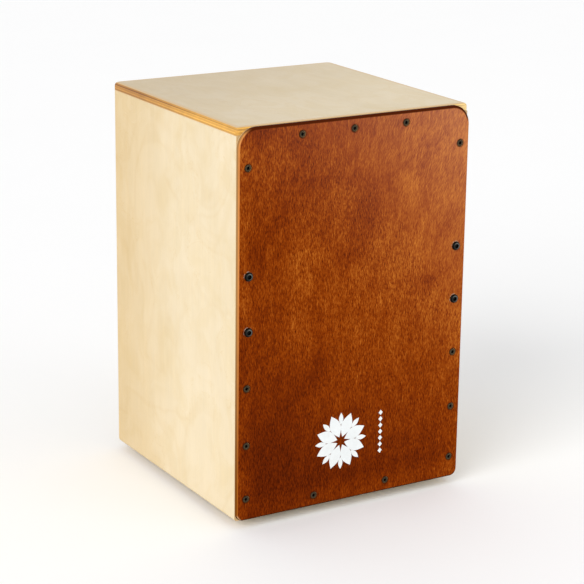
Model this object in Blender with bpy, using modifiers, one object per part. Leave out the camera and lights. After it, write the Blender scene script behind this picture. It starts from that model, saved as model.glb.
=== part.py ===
"""Snare cajon: a plywood box drum with a screwed-on front plate, fixed inner snares and rubber feet.

Metres, +Z up. The front plate (tapa) faces -Y, and +X is to the right of someone looking at it.
The origin is on the floor under the middle of the drum. Pieces that touch keep a small gap.
"""

from math import cos, pi, sin

import bmesh
import bpy
from mathutils import Matrix

# Driving dimensions of the box
WIDTH = 0.300
DEPTH = 0.302  # from the front plate's face to the back edges of the cabinet
CABINET_HEIGHT = 0.448
FOOT_HEIGHT = 0.010
PANEL = 0.009
TAPA_THICKNESS = 0.0045
REAR_PANEL_THICKNESS = 0.004
REAR_PANEL_INSET = 0.0006
GAP = 0.0003

# Rounded edges
CORNER_RADIUS = 0.008  # rear upright corners of the cabinet
SIDE_FRONT_RADIUS = 0.0015  # front upright edges of the side panels
SEAT_EDGE_RADIUS = 0.004  # also the seat's front corners
BASE_EDGE_RADIUS = 0.004
TAPA_MARGIN = 0.0004  # how far the front plate stays inside the cabinet's outline
TAPA_TOP_RADIUS = 0.023
TAPA_BOTTOM_RADIUS = 0.009
TAPA_ARRIS = 0.0025
SOUND_HOLE_RADIUS = 0.058
SOUND_HOLE_HEIGHT = 0.290
SOUND_HOLE_EASING = 0.001

# Inner frame
FRONT_BATTEN_WIDTH = 0.014
FRONT_BATTEN_DEPTH = 0.018
REAR_BATTEN = 0.012
CLEAT_WIDTH = 0.024
CLEAT_THICKNESS = 0.016
CLEAT_OVERHANG = 0.014  # past each bolt
BEAM_HEIGHT = 0.020
BEAM_SETBACK = 0.012  # from the front plate's back to the beam
TENON_HEIGHT = 0.012
TENON_THICKNESS = 0.010
TENON_LENGTH = 0.012

# Fasteners of the front plate, measured up from the cabinet's bottom edge and in from its sides
SIDE_SCREW_INSET = 0.0125
END_SCREW_INSET = 0.0135  # of the top and bottom rows
BOLT_INSET = 0.0137
SIDE_SCREW_HEIGHTS = (0.026, 0.089, 0.156, 0.404)
BOLT_HEIGHTS = (0.221, 0.284)
TOP_SCREW_OFFSETS = (-0.0705, -0.0040, 0.0635)
BOTTOM_SCREW_OFFSETS = (-0.0490, 0.0480)
SCREW_HEAD_RADIUS = 0.0037
SCREW_HEAD_DEPTH = 0.0021
SCREW_SHANK_RADIUS = 0.0017
SCREW_LENGTH = 0.022
SCREW_TIP_LENGTH = 0.003
RECESS_WIDTH = 0.0044
RECESS_BLADE = 0.001
RECESS_DEPTH = 0.0013
HEAD_TURN = 2.4  # radians from one head's recess to the next one's
BOLT_HEAD_RADIUS = 0.0051
BOLT_HEAD_HEIGHT = 0.0026
BOLT_RIM_HEIGHT = 0.0006
BOLT_TOP_RADIUS = 0.4 * BOLT_HEAD_RADIUS
BOLT_RADIUS = 0.0025
BOLT_LENGTH = 0.045
SOCKET_ACROSS_FLATS = 0.004
SOCKET_DEPTH = 0.0016
NUT_ACROSS_FLATS = 0.008
NUT_HEIGHT = 0.004

# Pan heads, as parts of their own radius and height
PAN_TOP_RADIUS = 0.65
PAN_SHOULDER = 0.5
PAN_RECESS_WIDTH = 1.1
PAN_RECESS_BLADE = 0.26
PAN_RECESS_DEPTH = 0.5

# Snares
SNARE_OFFSET = 0.048  # of each set from the drum's middle
SNARE_TILT = 0.10  # radians, upper ends leaning outwards
SNARE_STRANDS = 10
SNARE_SPACING = 0.003
SNARE_COIL_RADIUS = 0.0009
SNARE_LENGTH = 0.125
SNARE_PLATE = (0.034, 0.0012, 0.014)
SNARE_STRIP = (0.030, 0.0008, 0.005)
SNARE_SCREW_OFFSET = 0.0125
SNARE_SCREW_DROP = 0.0038
SNARE_SCREW_LENGTH = 0.010
SNARE_SCREW_RADIUS = 0.0015
SNARE_SCREW_HEAD = (0.0027, 0.0016)  # radius and height

# Feet
FOOT_INSET_X = 0.038
FOOT_INSET_Y = 0.044
FOOT_TOP_RADIUS = 0.0105
FOOT_BOTTOM_RADIUS = 0.0095
FOOT_POCKET_RADIUS = 0.0050
FOOT_POCKET_DEPTH = 0.0050
FOOT_EASING = 0.001
FOOT_SCREW_LENGTH = 0.0125
FOOT_SCREW_HEAD = (0.0038, 0.0022)  # radius and height

# Places worked out from the dimensions above
HALF_WIDTH = WIDTH / 2
FRONT = -(DEPTH - BOLT_HEAD_HEIGHT - GAP) / 2  # centres the drum and its bolt heads on the origin
BACK = FRONT + DEPTH
BOX_FRONT = FRONT + TAPA_THICKNESS + GAP
BOX_BOTTOM = FOOT_HEIGHT
BOX_TOP = BOX_BOTTOM + CABINET_HEIGHT
UNDER_SEAT = BOX_TOP - PANEL - GAP
OVER_BASE = BOX_BOTTOM + PANEL + GAP
INNER_HALF = HALF_WIDTH - PANEL - GAP
REAR_PANEL_FRONT = BACK - REAR_PANEL_INSET - REAR_PANEL_THICKNESS
BATTENS_BACK = BOX_FRONT + FRONT_BATTEN_DEPTH
CLEAT_FRONT = BATTENS_BACK + GAP
CLEAT_BACK = CLEAT_FRONT + CLEAT_THICKNESS
CLEAT_INNER = INNER_HALF - CLEAT_WIDTH
BEAM_HALF = CLEAT_INNER - GAP
BEAM_FRONT = BOX_FRONT + BEAM_SETBACK
BEAM_MIDDLE = BOX_BOTTOM + sum(BOLT_HEIGHTS) / len(BOLT_HEIGHTS)

CUTTER_REACH = 0.002  # how far a cutter stands out of the face that it cuts
ALONG = 0.99  # least share of an edge's direction that counts as running along an axis
ACROSS = 0.01  # greatest share that counts as running across it
ROUND_STEPS = 16  # of a screw or a hole
OUTWARD_FRONT = Matrix.Rotation(pi / 2, 4, "X")  # turns a fastener's +Z towards -Y
OUTWARD_DOWN = Matrix.Rotation(pi, 4, "X")
SIDES = (("left", -1), ("right", 1))


# Scene and materials


def clear_scene():
    for obj in list(bpy.data.objects):
        bpy.data.objects.remove(obj, do_unlink=True)


def new_collection(name, parent=None):
    collection = bpy.data.collections.new(name)
    (parent or bpy.context.scene.collection).children.link(collection)
    return collection


def new_material(name, colour, roughness, metallic=0.0):
    material = bpy.data.materials.new(name)
    material.use_nodes = True
    shader = material.node_tree.nodes["Principled BSDF"]
    shader.inputs["Base Color"].default_value = (*colour, 1.0)
    shader.inputs["Roughness"].default_value = roughness
    shader.inputs["Metallic"].default_value = metallic
    return material


clear_scene()
CAJON = new_collection("cajon")
CUTTERS = new_collection("cutters")
SCREW_HOLES = new_collection("screw_holes", CUTTERS)
BOLT_HOLES = new_collection("bolt_holes", CUTTERS)
CUTTERS.hide_render = True

ROOT = bpy.data.objects.new("cajon_root", None)
CAJON.objects.link(ROOT)

BIRCH = new_material("birch_plywood", (0.90, 0.76, 0.52), 0.45)
STAINED = new_material("stained_birch", (0.28, 0.07, 0.012), 0.38)
SPRUCE = new_material("spruce_batten", (0.80, 0.62, 0.38), 0.60)
BLACK_STEEL = new_material("black_steel", (0.02, 0.02, 0.02), 0.40, 0.9)
ZINC = new_material("zinc_plated_steel", (0.62, 0.62, 0.60), 0.35, 1.0)
SNARE_STEEL = new_material("snare_steel", (0.55, 0.55, 0.54), 0.25, 1.0)
RUBBER = new_material("black_rubber", (0.025, 0.025, 0.025), 0.80)


# Building blocks


def place_part(name, mesh, material, matrix=None):
    """Makes a sub-part of the drum from a mesh."""
    obj = bpy.data.objects.new(name, mesh)
    if not mesh.materials:
        mesh.materials.append(material)
    if matrix:
        obj.matrix_basis = matrix
    obj.parent = ROOT
    CAJON.objects.link(obj)
    return obj


def place_cutter(name, mesh, matrix=None, collection=CUTTERS):
    obj = bpy.data.objects.new(name, mesh)
    if matrix:
        obj.matrix_basis = matrix
    obj.hide_render = True
    obj.display_type = "WIRE"
    collection.objects.link(obj)
    return obj


def box_bmesh(size):
    bm = bmesh.new()
    bmesh.ops.create_cube(bm, size=1.0)
    bmesh.ops.scale(bm, vec=size, verts=bm.verts)
    return bm


def round_edges(bm, chosen, radius, segments):
    """Rounds the edges whose middle and direction the test accepts."""
    edges = []
    for edge in bm.edges:
        start, end = (v.co for v in edge.verts)
        if chosen((start + end) / 2, (end - start).normalized()):
            edges.append(edge)
    bmesh.ops.bevel(bm, geom=edges, offset=radius, segments=segments, profile=0.5, affect="EDGES")


def mesh_from(name, bm, smooth=False):
    mesh = bpy.data.meshes.new(name)
    bm.to_mesh(mesh)
    bm.free()
    if smooth:
        mesh.shade_smooth()
        mesh.set_sharp_from_angle(angle=pi / 6)
    return mesh


def middle_of(low, high):
    return Matrix.Translation([(a + b) / 2 for a, b in zip(low, high)])


def size_of(low, high):
    return [b - a for a, b in zip(low, high)]


def board(name, low, high, material, rounding=()):
    """A straight board between two corners. Each rounding is (test, radius, segments)."""
    bm = box_bmesh(size_of(low, high))
    for chosen, radius, segments in rounding:
        round_edges(bm, chosen, radius, segments)
    return place_part(name, mesh_from(name, bm, bool(rounding)), material, middle_of(low, high))


def turned_mesh(name, profile, steps):
    """Turns a profile of (radius, height) points, listed from the top down, about the Z axis."""
    bm = bmesh.new()
    points = [bm.verts.new((radius, 0.0, height)) for radius, height in profile]
    for upper, lower in zip(points, points[1:]):
        bm.edges.new((upper, lower))
    guide = bpy.data.objects.new(name + "_profile", mesh_from(name + "_profile", bm))
    CUTTERS.objects.link(guide)
    screw = guide.modifiers.new("turn", "SCREW")
    screw.axis = "Z"
    screw.steps = screw.render_steps = steps
    screw.use_merge_vertices = True
    screw.merge_threshold = 1e-6
    return finished_mesh(name, guide)


def finished_mesh(name, obj):
    """The object's mesh with its modifiers applied. The object itself is removed."""
    bpy.context.view_layer.update()
    graph = bpy.context.evaluated_depsgraph_get()
    mesh = bpy.data.meshes.new_from_object(obj.evaluated_get(graph))
    mesh.name = name
    mesh.shade_smooth()
    mesh.set_sharp_from_angle(angle=pi / 6)
    bpy.data.objects.remove(obj, do_unlink=True)
    return mesh


def add_boolean(obj, other, operation="DIFFERENCE"):
    """Cuts or joins with another object, or with every object of a collection."""
    modifier = obj.modifiers.new("with_" + other.name, "BOOLEAN")
    modifier.operation = operation
    modifier.solver = "EXACT"
    if isinstance(other, bpy.types.Collection):
        modifier.operand_type = "COLLECTION"
        modifier.collection = other
    else:
        modifier.object = other


def mesh_after(name, mesh, other, operation="DIFFERENCE"):
    """A new mesh: one mesh cut by, or joined with, another."""
    obj = bpy.data.objects.new(name, mesh)
    CUTTERS.objects.link(obj)
    tool = place_cutter(name + "_tool", other)
    add_boolean(obj, tool, operation)
    result = finished_mesh(name, obj)
    bpy.data.objects.remove(tool, do_unlink=True)
    return result


def prism_mesh(name, corners, radius, low, high):
    """An upright prism or cylinder between two heights."""
    bm = bmesh.new()
    upright = Matrix.Translation((0, 0, (low + high) / 2)) @ Matrix.Rotation(pi / corners, 4, "Z")
    bmesh.ops.create_cone(
        bm,
        cap_ends=True,
        segments=corners,
        radius1=radius,
        radius2=radius,
        depth=high - low,
        matrix=upright,
    )
    return mesh_from(name, bm)


# Fasteners, each with its head's bearing level at height 0 and its head towards +Z


def cross_recess(width, blade, top, depth):
    """The plus-shaped cutter of a cross-head recess, as deep below the top as it stands above."""
    bm = box_bmesh((width, blade, 2 * depth))
    mesh = mesh_from("recess_blade", bm)
    other = box_bmesh((blade, width, 2 * depth))
    mesh = mesh_after("recess", mesh, mesh_from("recess_cross_blade", other), "UNION")
    mesh.transform(Matrix.Translation((0, 0, top)))
    return mesh


def countersunk_screw_mesh():
    profile = (
        (0.0, 0.0),
        (SCREW_HEAD_RADIUS, 0.0),
        (SCREW_HEAD_RADIUS, -GAP),
        (SCREW_SHANK_RADIUS, -SCREW_HEAD_DEPTH),
        (SCREW_SHANK_RADIUS, SCREW_TIP_LENGTH - SCREW_LENGTH),
        (0.0, -SCREW_LENGTH),
    )
    blank = turned_mesh("countersunk_screw", profile, ROUND_STEPS)
    recess = cross_recess(RECESS_WIDTH, RECESS_BLADE, 0.0, RECESS_DEPTH)
    return mesh_after("countersunk_screw", blank, recess)


def countersunk_hole_mesh():
    """The clearance round a countersunk screw, from above the plate to under the screw's tip."""
    profile = (
        (0.0, CUTTER_REACH),
        (SCREW_HEAD_RADIUS + GAP, CUTTER_REACH),
        (SCREW_HEAD_RADIUS + GAP, -2 * GAP),
        (SCREW_SHANK_RADIUS + GAP, -SCREW_HEAD_DEPTH - GAP),
        (SCREW_SHANK_RADIUS + GAP, -SCREW_LENGTH - GAP),
        (0.0, -SCREW_LENGTH - 2 * GAP),
    )
    return turned_mesh("countersunk_hole", profile, ROUND_STEPS)


def button_bolt_mesh():
    """A domed socket screw whose head stands just clear of the plate."""
    top = GAP + BOLT_HEAD_HEIGHT
    rim = GAP + BOLT_RIM_HEIGHT
    profile = [(0.0, top)]
    for turn in (0.0, pi / 8, pi / 4, 3 * pi / 8, pi / 2):
        radius = BOLT_TOP_RADIUS + (BOLT_HEAD_RADIUS - BOLT_TOP_RADIUS) * sin(turn)
        profile.append((radius, rim + (top - rim) * cos(turn)))
    profile += [
        (BOLT_HEAD_RADIUS, GAP),
        (BOLT_RADIUS, GAP),
        (BOLT_RADIUS, GAP - BOLT_LENGTH),
        (0.0, GAP - BOLT_LENGTH),
    ]
    blank = turned_mesh("button_bolt", profile, 18)
    corner_radius = SOCKET_ACROSS_FLATS / 2 / cos(pi / 6)
    socket = prism_mesh("socket", 6, corner_radius, top - SOCKET_DEPTH, top + SOCKET_DEPTH)
    return mesh_after("button_bolt", blank, socket)


def nut_mesh():
    """A hexagon nut that lies from height 0 upwards, flats facing along X."""
    blank = prism_mesh("nut_blank", 6, NUT_ACROSS_FLATS / 2 / cos(pi / 6), 0.0, NUT_HEIGHT)
    hole = prism_mesh("nut_hole", ROUND_STEPS, BOLT_RADIUS + GAP, -NUT_HEIGHT, 2 * NUT_HEIGHT)
    return mesh_after("hexagon_nut", blank, hole)


def pan_screw_mesh(name, head, shank_radius, length):
    radius, height = head
    top = GAP + height
    profile = (
        (0.0, top),
        (PAN_TOP_RADIUS * radius, top),
        (radius, GAP + PAN_SHOULDER * height),
        (radius, GAP),
        (shank_radius, GAP),
        (shank_radius, GAP - length + 2 * shank_radius),
        (0.0, GAP - length),
    )
    blank = turned_mesh(name, profile, ROUND_STEPS)
    width = PAN_RECESS_WIDTH * radius
    blade = PAN_RECESS_BLADE * radius
    return mesh_after(name, blank, cross_recess(width, blade, top, PAN_RECESS_DEPTH * height))


def put_holes_in(obj, *collections):
    for collection in collections:
        add_boolean(obj, collection)


# Cabinet


def upright_edge(end):
    """A test for a board's upright edges at its front (end -1) or back (end +1)."""
    return lambda middle, direction: abs(direction.z) > ALONG and middle.y * end > 0


def build_side_panel(name, side):
    x_outer = side * HALF_WIDTH
    x_inner = side * (HALF_WIDTH - PANEL)
    low = (min(x_outer, x_inner), BOX_FRONT, BOX_BOTTOM)
    high = (max(x_outer, x_inner), BACK, UNDER_SEAT)

    def outer_upright(end):
        return lambda middle, direction: upright_edge(end)(middle, direction) and middle.x * side > 0

    def outer_base(middle, direction):
        """The base edges of the outer face, the rear corner and the rear edge, but not of the front."""
        at_base = middle.z < GAP - (UNDER_SEAT - BOX_BOTTOM) / 2
        outside = middle.x * side > GAP - PANEL / 2
        behind_front = middle.y > GAP - (BACK - BOX_FRONT) / 2
        return at_base and outside and behind_front and abs(direction.z) < ACROSS

    rounding = (
        (outer_upright(1), CORNER_RADIUS, 6),
        (outer_base, BASE_EDGE_RADIUS, 3),
        (outer_upright(-1), SIDE_FRONT_RADIUS, 2),
    )
    board(name + "_side_panel", low, high, BIRCH, rounding)


def build_top_panel():
    low = (-HALF_WIDTH, BOX_FRONT, BOX_TOP - PANEL)
    high = (HALF_WIDTH, BACK, BOX_TOP)

    def seat_edge(middle, direction):
        near_side = abs(middle.x) > HALF_WIDTH - CORNER_RADIUS - GAP
        near_end = abs(middle.y) > (BACK - BOX_FRONT) / 2 - CORNER_RADIUS - GAP
        on_top = middle.z > PANEL / 2 - GAP
        return on_top and abs(direction.z) < ACROSS and (near_side or near_end)

    def seat_edge_or_front_corner(middle, direction):
        return seat_edge(middle, direction) or upright_edge(-1)(middle, direction)

    rounding = (
        (upright_edge(1), CORNER_RADIUS, 6),
        (seat_edge_or_front_corner, SEAT_EDGE_RADIUS, 4),
    )
    board("top_panel", low, high, BIRCH, rounding)


def build_bottom_panel():
    low = (-INNER_HALF, BOX_FRONT, BOX_BOTTOM)
    high = (INNER_HALF, BACK, BOX_BOTTOM + PANEL)
    panel = board("bottom_panel", low, high, BIRCH)
    depth = FOOT_SCREW_LENGTH - FOOT_HEIGHT + FOOT_POCKET_DEPTH + 2 * GAP
    radius = SCREW_SHANK_RADIUS + GAP
    pilot = prism_mesh("foot_screw_hole", ROUND_STEPS, radius, -CUTTER_REACH, depth)
    for name, x, y in foot_places():
        hole = place_cutter(name + "_hole", pilot, Matrix.Translation((x, y, BOX_BOTTOM)))
        add_boolean(panel, hole)


def build_rear_panel():
    low = (-INNER_HALF, REAR_PANEL_FRONT, OVER_BASE)
    high = (INNER_HALF, BACK - REAR_PANEL_INSET, UNDER_SEAT)
    panel = board("rear_panel", low, high, BIRCH)
    half = REAR_PANEL_THICKNESS / 2
    eased = SOUND_HOLE_RADIUS + SOUND_HOLE_EASING
    beyond = half + SOUND_HOLE_EASING
    profile = (
        (0.0, beyond),
        (eased + SOUND_HOLE_EASING, beyond),
        (SOUND_HOLE_RADIUS, half - SOUND_HOLE_EASING),
        (SOUND_HOLE_RADIUS, SOUND_HOLE_EASING - half),
        (eased + SOUND_HOLE_EASING, -beyond),
        (0.0, -beyond),
    )
    centre = (0.0, REAR_PANEL_FRONT + half, BOX_BOTTOM + SOUND_HOLE_HEIGHT)
    place = Matrix.Translation(centre) @ OUTWARD_FRONT
    add_boolean(panel, place_cutter("sound_hole", turned_mesh("sound_hole", profile, 56), place))


def build_tapa():
    """The thin front plate, with round corners, a rounded front arris and its screw holes."""
    low = (-HALF_WIDTH + TAPA_MARGIN, FRONT, BOX_BOTTOM + TAPA_MARGIN)
    high = (HALF_WIDTH - TAPA_MARGIN, FRONT + TAPA_THICKNESS, BOX_TOP - TAPA_MARGIN)

    def corner(sign):
        return lambda middle, direction: abs(direction.y) > ALONG and middle.z * sign > 0

    def front_edge(middle, direction):
        return middle.y < GAP - TAPA_THICKNESS / 2 and abs(direction.y) < ACROSS

    rounding = (
        (corner(1), TAPA_TOP_RADIUS, 12),
        (corner(-1), TAPA_BOTTOM_RADIUS, 8),
        (front_edge, TAPA_ARRIS, 3),
    )
    put_holes_in(board("tapa", low, high, STAINED, rounding), SCREW_HOLES, BOLT_HOLES)


# Inner frame


def build_front_battens():
    back = BATTENS_BACK
    for name, side in SIDES:
        inner = side * (INNER_HALF - FRONT_BATTEN_WIDTH)
        outer = side * INNER_HALF
        low = (min(inner, outer), BOX_FRONT, OVER_BASE)
        high = (max(inner, outer), back, UNDER_SEAT)
        batten = board("front_batten_" + name, low, high, SPRUCE)
        put_holes_in(batten, SCREW_HOLES, BOLT_HOLES)
    half = INNER_HALF - FRONT_BATTEN_WIDTH - GAP
    lows = (("bottom", OVER_BASE), ("top", UNDER_SEAT - FRONT_BATTEN_WIDTH))
    for name, z in lows:
        low = (-half, BOX_FRONT, z)
        high = (half, back, z + FRONT_BATTEN_WIDTH)
        put_holes_in(board("front_batten_" + name, low, high, SPRUCE), SCREW_HOLES)


def build_rear_battens():
    back = REAR_PANEL_FRONT - GAP
    front = back - REAR_BATTEN
    for name, side in SIDES:
        inner = side * (INNER_HALF - REAR_BATTEN)
        outer = side * INNER_HALF
        low = (min(inner, outer), front, OVER_BASE)
        high = (max(inner, outer), back, UNDER_SEAT)
        board("rear_batten_" + name, low, high, SPRUCE)
    half = INNER_HALF - REAR_BATTEN - GAP
    for name, z in (("bottom", OVER_BASE), ("top", UNDER_SEAT - REAR_BATTEN)):
        board("rear_batten_" + name, (-half, front, z), (half, back, z + REAR_BATTEN), SPRUCE)


def build_cleats():
    """Upright blocks behind the side battens, bolted through the plate, with a mortise each."""
    bottom = BOX_BOTTOM + min(BOLT_HEIGHTS) - CLEAT_OVERHANG
    top = BOX_BOTTOM + max(BOLT_HEIGHTS) + CLEAT_OVERHANG
    thickness = TENON_THICKNESS + 2 * GAP
    height = TENON_HEIGHT + 2 * GAP
    for name, side in SIDES:
        inner = side * CLEAT_INNER
        outer = side * INNER_HALF
        low = (min(inner, outer), CLEAT_FRONT, bottom)
        high = (max(inner, outer), CLEAT_BACK, top)
        cleat = board("snare_cleat_" + name, low, high, SPRUCE)
        put_holes_in(cleat, BOLT_HOLES)
        length = 2 * (TENON_LENGTH + GAP)
        mortise = mesh_from("mortise", box_bmesh((length, thickness, height)))
        place = Matrix.Translation((inner, (CLEAT_FRONT + CLEAT_BACK) / 2, BEAM_MIDDLE))
        add_boolean(cleat, place_cutter("mortise_" + name, mortise, place))


def build_beam():
    """The bar that carries the snares, with a tenon at each end."""
    low = (-BEAM_HALF, BEAM_FRONT, BEAM_MIDDLE - BEAM_HEIGHT / 2)
    high = (BEAM_HALF, CLEAT_BACK, BEAM_MIDDLE + BEAM_HEIGHT / 2)
    beam = board("snare_beam", low, high, SPRUCE)
    length = 2 * (BEAM_HALF + GAP + TENON_LENGTH)
    tenon = mesh_from("tenons", box_bmesh((length, TENON_THICKNESS, TENON_HEIGHT)))
    place = Matrix.Translation((0.0, (CLEAT_FRONT + CLEAT_BACK) / 2, BEAM_MIDDLE))
    add_boolean(beam, place_cutter("tenons", tenon, place), "UNION")
    depth = SNARE_SCREW_LENGTH + 2 * GAP
    radius = SNARE_SCREW_RADIUS + GAP
    pilot = prism_mesh("snare_screw_hole", ROUND_STEPS, radius, -depth, CUTTER_REACH)
    for name, place in snare_screw_places():
        add_boolean(beam, place_cutter(name + "_hole", pilot, place))


# Snares


def snare_frame(side):
    """Where a snare set's end plate sits: its middle on the beam's front, tilted with the wires."""
    spot = Matrix.Translation((side * SNARE_OFFSET, BEAM_FRONT - GAP, BEAM_MIDDLE))
    return spot @ Matrix.Rotation(side * SNARE_TILT, 4, "Y")


def snare_screw_places():
    places = []
    plate_front = Matrix.Translation((0.0, -SNARE_PLATE[1], -SNARE_SCREW_DROP))
    for name, side in SIDES:
        for number, offset in ((1, -SNARE_SCREW_OFFSET), (2, SNARE_SCREW_OFFSET)):
            across = Matrix.Translation((offset, 0.0, 0.0))
            place = snare_frame(side) @ plate_front @ across @ OUTWARD_FRONT
            places.append((f"snare_screw_{name}_{number}", place))
    return places


def snare_set_mesh():
    """End plate, coiled wires as rods of the coils' size, and free end strip, as one brazed piece."""
    width, thickness, height = SNARE_PLATE
    start = (-thickness, 0.0)  # y and z of every wire's lower end
    reach = BEAM_SETBACK - GAP - GAP - SNARE_COIL_RADIUS  # how far forward the free ends come
    end = (-reach, SNARE_LENGTH)
    lean = Matrix.Rotation(-(end[0] - start[0]) / (end[1] - start[1]), 4, "X")
    run = ((end[0] - start[0]) ** 2 + (end[1] - start[1]) ** 2) ** 0.5

    wires = bmesh.new()
    for number in range(SNARE_STRANDS):
        x = (number - (SNARE_STRANDS - 1) / 2) * SNARE_SPACING
        place = Matrix.Translation((x, start[0], start[1])) @ lean
        bmesh.ops.create_cone(
            wires,
            cap_ends=True,
            segments=6,
            radius1=SNARE_COIL_RADIUS,
            radius2=SNARE_COIL_RADIUS,
            depth=run,
            matrix=place @ Matrix.Translation((0.0, 0.0, run / 2)),
        )
    wires_mesh = mesh_from("snare_wires", wires)

    plate = box_bmesh((width, thickness, height))
    bmesh.ops.translate(plate, verts=plate.verts, vec=(0.0, -thickness / 2, 0.0))
    mesh = mesh_after("snare_set", mesh_from("snare_plate", plate), wires_mesh, "UNION")

    strip = box_bmesh(SNARE_STRIP)
    behind = end[0] + 0.6 * SNARE_COIL_RADIUS
    bmesh.ops.translate(strip, verts=strip.verts, vec=(0.0, behind, end[1] - SNARE_STRIP[2] / 2))
    return mesh_after("snare_set", mesh, mesh_from("snare_strip", strip), "UNION")


def build_snares():
    blank = snare_set_mesh()
    radius = SNARE_SCREW_RADIUS + GAP
    low = -SNARE_PLATE[1] - CUTTER_REACH
    high = CUTTER_REACH - GAP  # ends short of the strands in front of the plate
    hole = prism_mesh("snare_plate_hole", ROUND_STEPS, radius, low, high)
    screw = pan_screw_mesh("snare_screw", SNARE_SCREW_HEAD, SNARE_SCREW_RADIUS, SNARE_SCREW_LENGTH)
    places = snare_screw_places()
    for name, side in SIDES:
        snares = place_part("snare_set_" + name, blank.copy(), SNARE_STEEL, snare_frame(side))
        for screw_name, place in places:
            if name in screw_name:
                add_boolean(snares, place_cutter(screw_name + "_plate_hole", hole, place))
    for screw_name, place in places:
        place_part(screw_name, screw, ZINC, place)


# Fasteners of the front plate


def screw_places():
    """Name, x and height above the cabinet's bottom edge of every countersunk screw."""
    places = []
    for name, side in SIDES:
        for number, height in enumerate(SIDE_SCREW_HEIGHTS, 1):
            x = side * (HALF_WIDTH - SIDE_SCREW_INSET)
            places.append((f"tapa_screw_{name}_{number}", x, height))
    for number, x in enumerate(TOP_SCREW_OFFSETS, 1):
        places.append((f"tapa_screw_top_{number}", x, CABINET_HEIGHT - END_SCREW_INSET))
    for number, x in enumerate(BOTTOM_SCREW_OFFSETS, 1):
        places.append((f"tapa_screw_bottom_{number}", x, END_SCREW_INSET))
    return places


def bolt_places():
    places = []
    for name, side in SIDES:
        for level, height in zip(("lower", "upper"), BOLT_HEIGHTS):
            places.append((f"{name}_{level}", side * (HALF_WIDTH - BOLT_INSET), height))
    return places


def at_plate(x, height):
    return Matrix.Translation((x, FRONT, BOX_BOTTOM + height)) @ OUTWARD_FRONT


def turned_about_axis(matrix, number):
    """Each screw stops at its own angle, as screws do when they are driven home."""
    return matrix @ Matrix.Rotation(number * HEAD_TURN, 4, "Z")


def build_tapa_fasteners():
    screw = countersunk_screw_mesh()
    screw_hole = countersunk_hole_mesh()
    bolt = button_bolt_mesh()
    nut = nut_mesh()
    radius = BOLT_RADIUS + GAP
    bolt_hole = prism_mesh("bolt_hole", ROUND_STEPS, radius, -BOLT_LENGTH, CUTTER_REACH)
    for number, (name, x, height) in enumerate(screw_places()):
        place = at_plate(x, height)
        place_part(name, screw, BLACK_STEEL, turned_about_axis(place, number))
        place_cutter(name + "_hole", screw_hole, place, SCREW_HOLES)
    for number, (name, x, height) in enumerate(bolt_places()):
        place = at_plate(x, height)
        place_part("snare_bolt_" + name, bolt, BLACK_STEEL, turned_about_axis(place, number))
        place_cutter(name + "_bolt_hole", bolt_hole, place, BOLT_HOLES)
        behind = Matrix.Translation((x, CLEAT_BACK + GAP + NUT_HEIGHT, BOX_BOTTOM + height))
        place_part("snare_nut_" + name, nut, ZINC, behind @ OUTWARD_FRONT)


# Feet


def foot_places():
    places = []
    ends = (("front", FRONT + FOOT_INSET_Y), ("rear", BACK - FOOT_INSET_Y))
    for end_name, y in ends:
        for name, side in SIDES:
            places.append((f"foot_{end_name}_{name}", side * (HALF_WIDTH - FOOT_INSET_X), y))
    return places


def foot_mesh():
    """A tapered rubber foot with a pocket for its screw's head."""
    top = FOOT_HEIGHT - GAP
    bore = SCREW_SHANK_RADIUS + GAP
    profile = (
        (bore, top),
        (FOOT_TOP_RADIUS, top),
        (FOOT_BOTTOM_RADIUS, FOOT_EASING),
        (FOOT_BOTTOM_RADIUS - FOOT_EASING, 0.0),
        (FOOT_POCKET_RADIUS, 0.0),
        (FOOT_POCKET_RADIUS, FOOT_POCKET_DEPTH),
        (bore, FOOT_POCKET_DEPTH),
        (bore, top),
    )
    return turned_mesh("rubber_foot", profile, 24)


def build_feet():
    foot = foot_mesh()
    screw = pan_screw_mesh("foot_screw", FOOT_SCREW_HEAD, SCREW_SHANK_RADIUS, FOOT_SCREW_LENGTH)
    for name, x, y in foot_places():
        place_part(name, foot, RUBBER, Matrix.Translation((x, y, 0.0)))
        seat = Matrix.Translation((x, y, FOOT_POCKET_DEPTH)) @ OUTWARD_DOWN
        place_part(name.replace("foot_", "foot_screw_"), screw, ZINC, seat)


build_tapa_fasteners()
build_top_panel()
build_bottom_panel()
for side_name, side_sign in SIDES:
    build_side_panel(side_name, side_sign)
build_rear_panel()
build_tapa()
build_front_battens()
build_rear_battens()
build_cleats()
build_beam()
build_snares()
build_feet()
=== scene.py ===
"""The looks of the snare cajon: fine surfaces, materials, floor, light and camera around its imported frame.

Metres, +Z up. The stained front plate (tapa) faces -Y. Each piece is built where its CAD node is.
"""

from math import atan2, cos, pi, radians, sin

import bmesh
import bpy
from mathutils import Matrix, Vector


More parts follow.
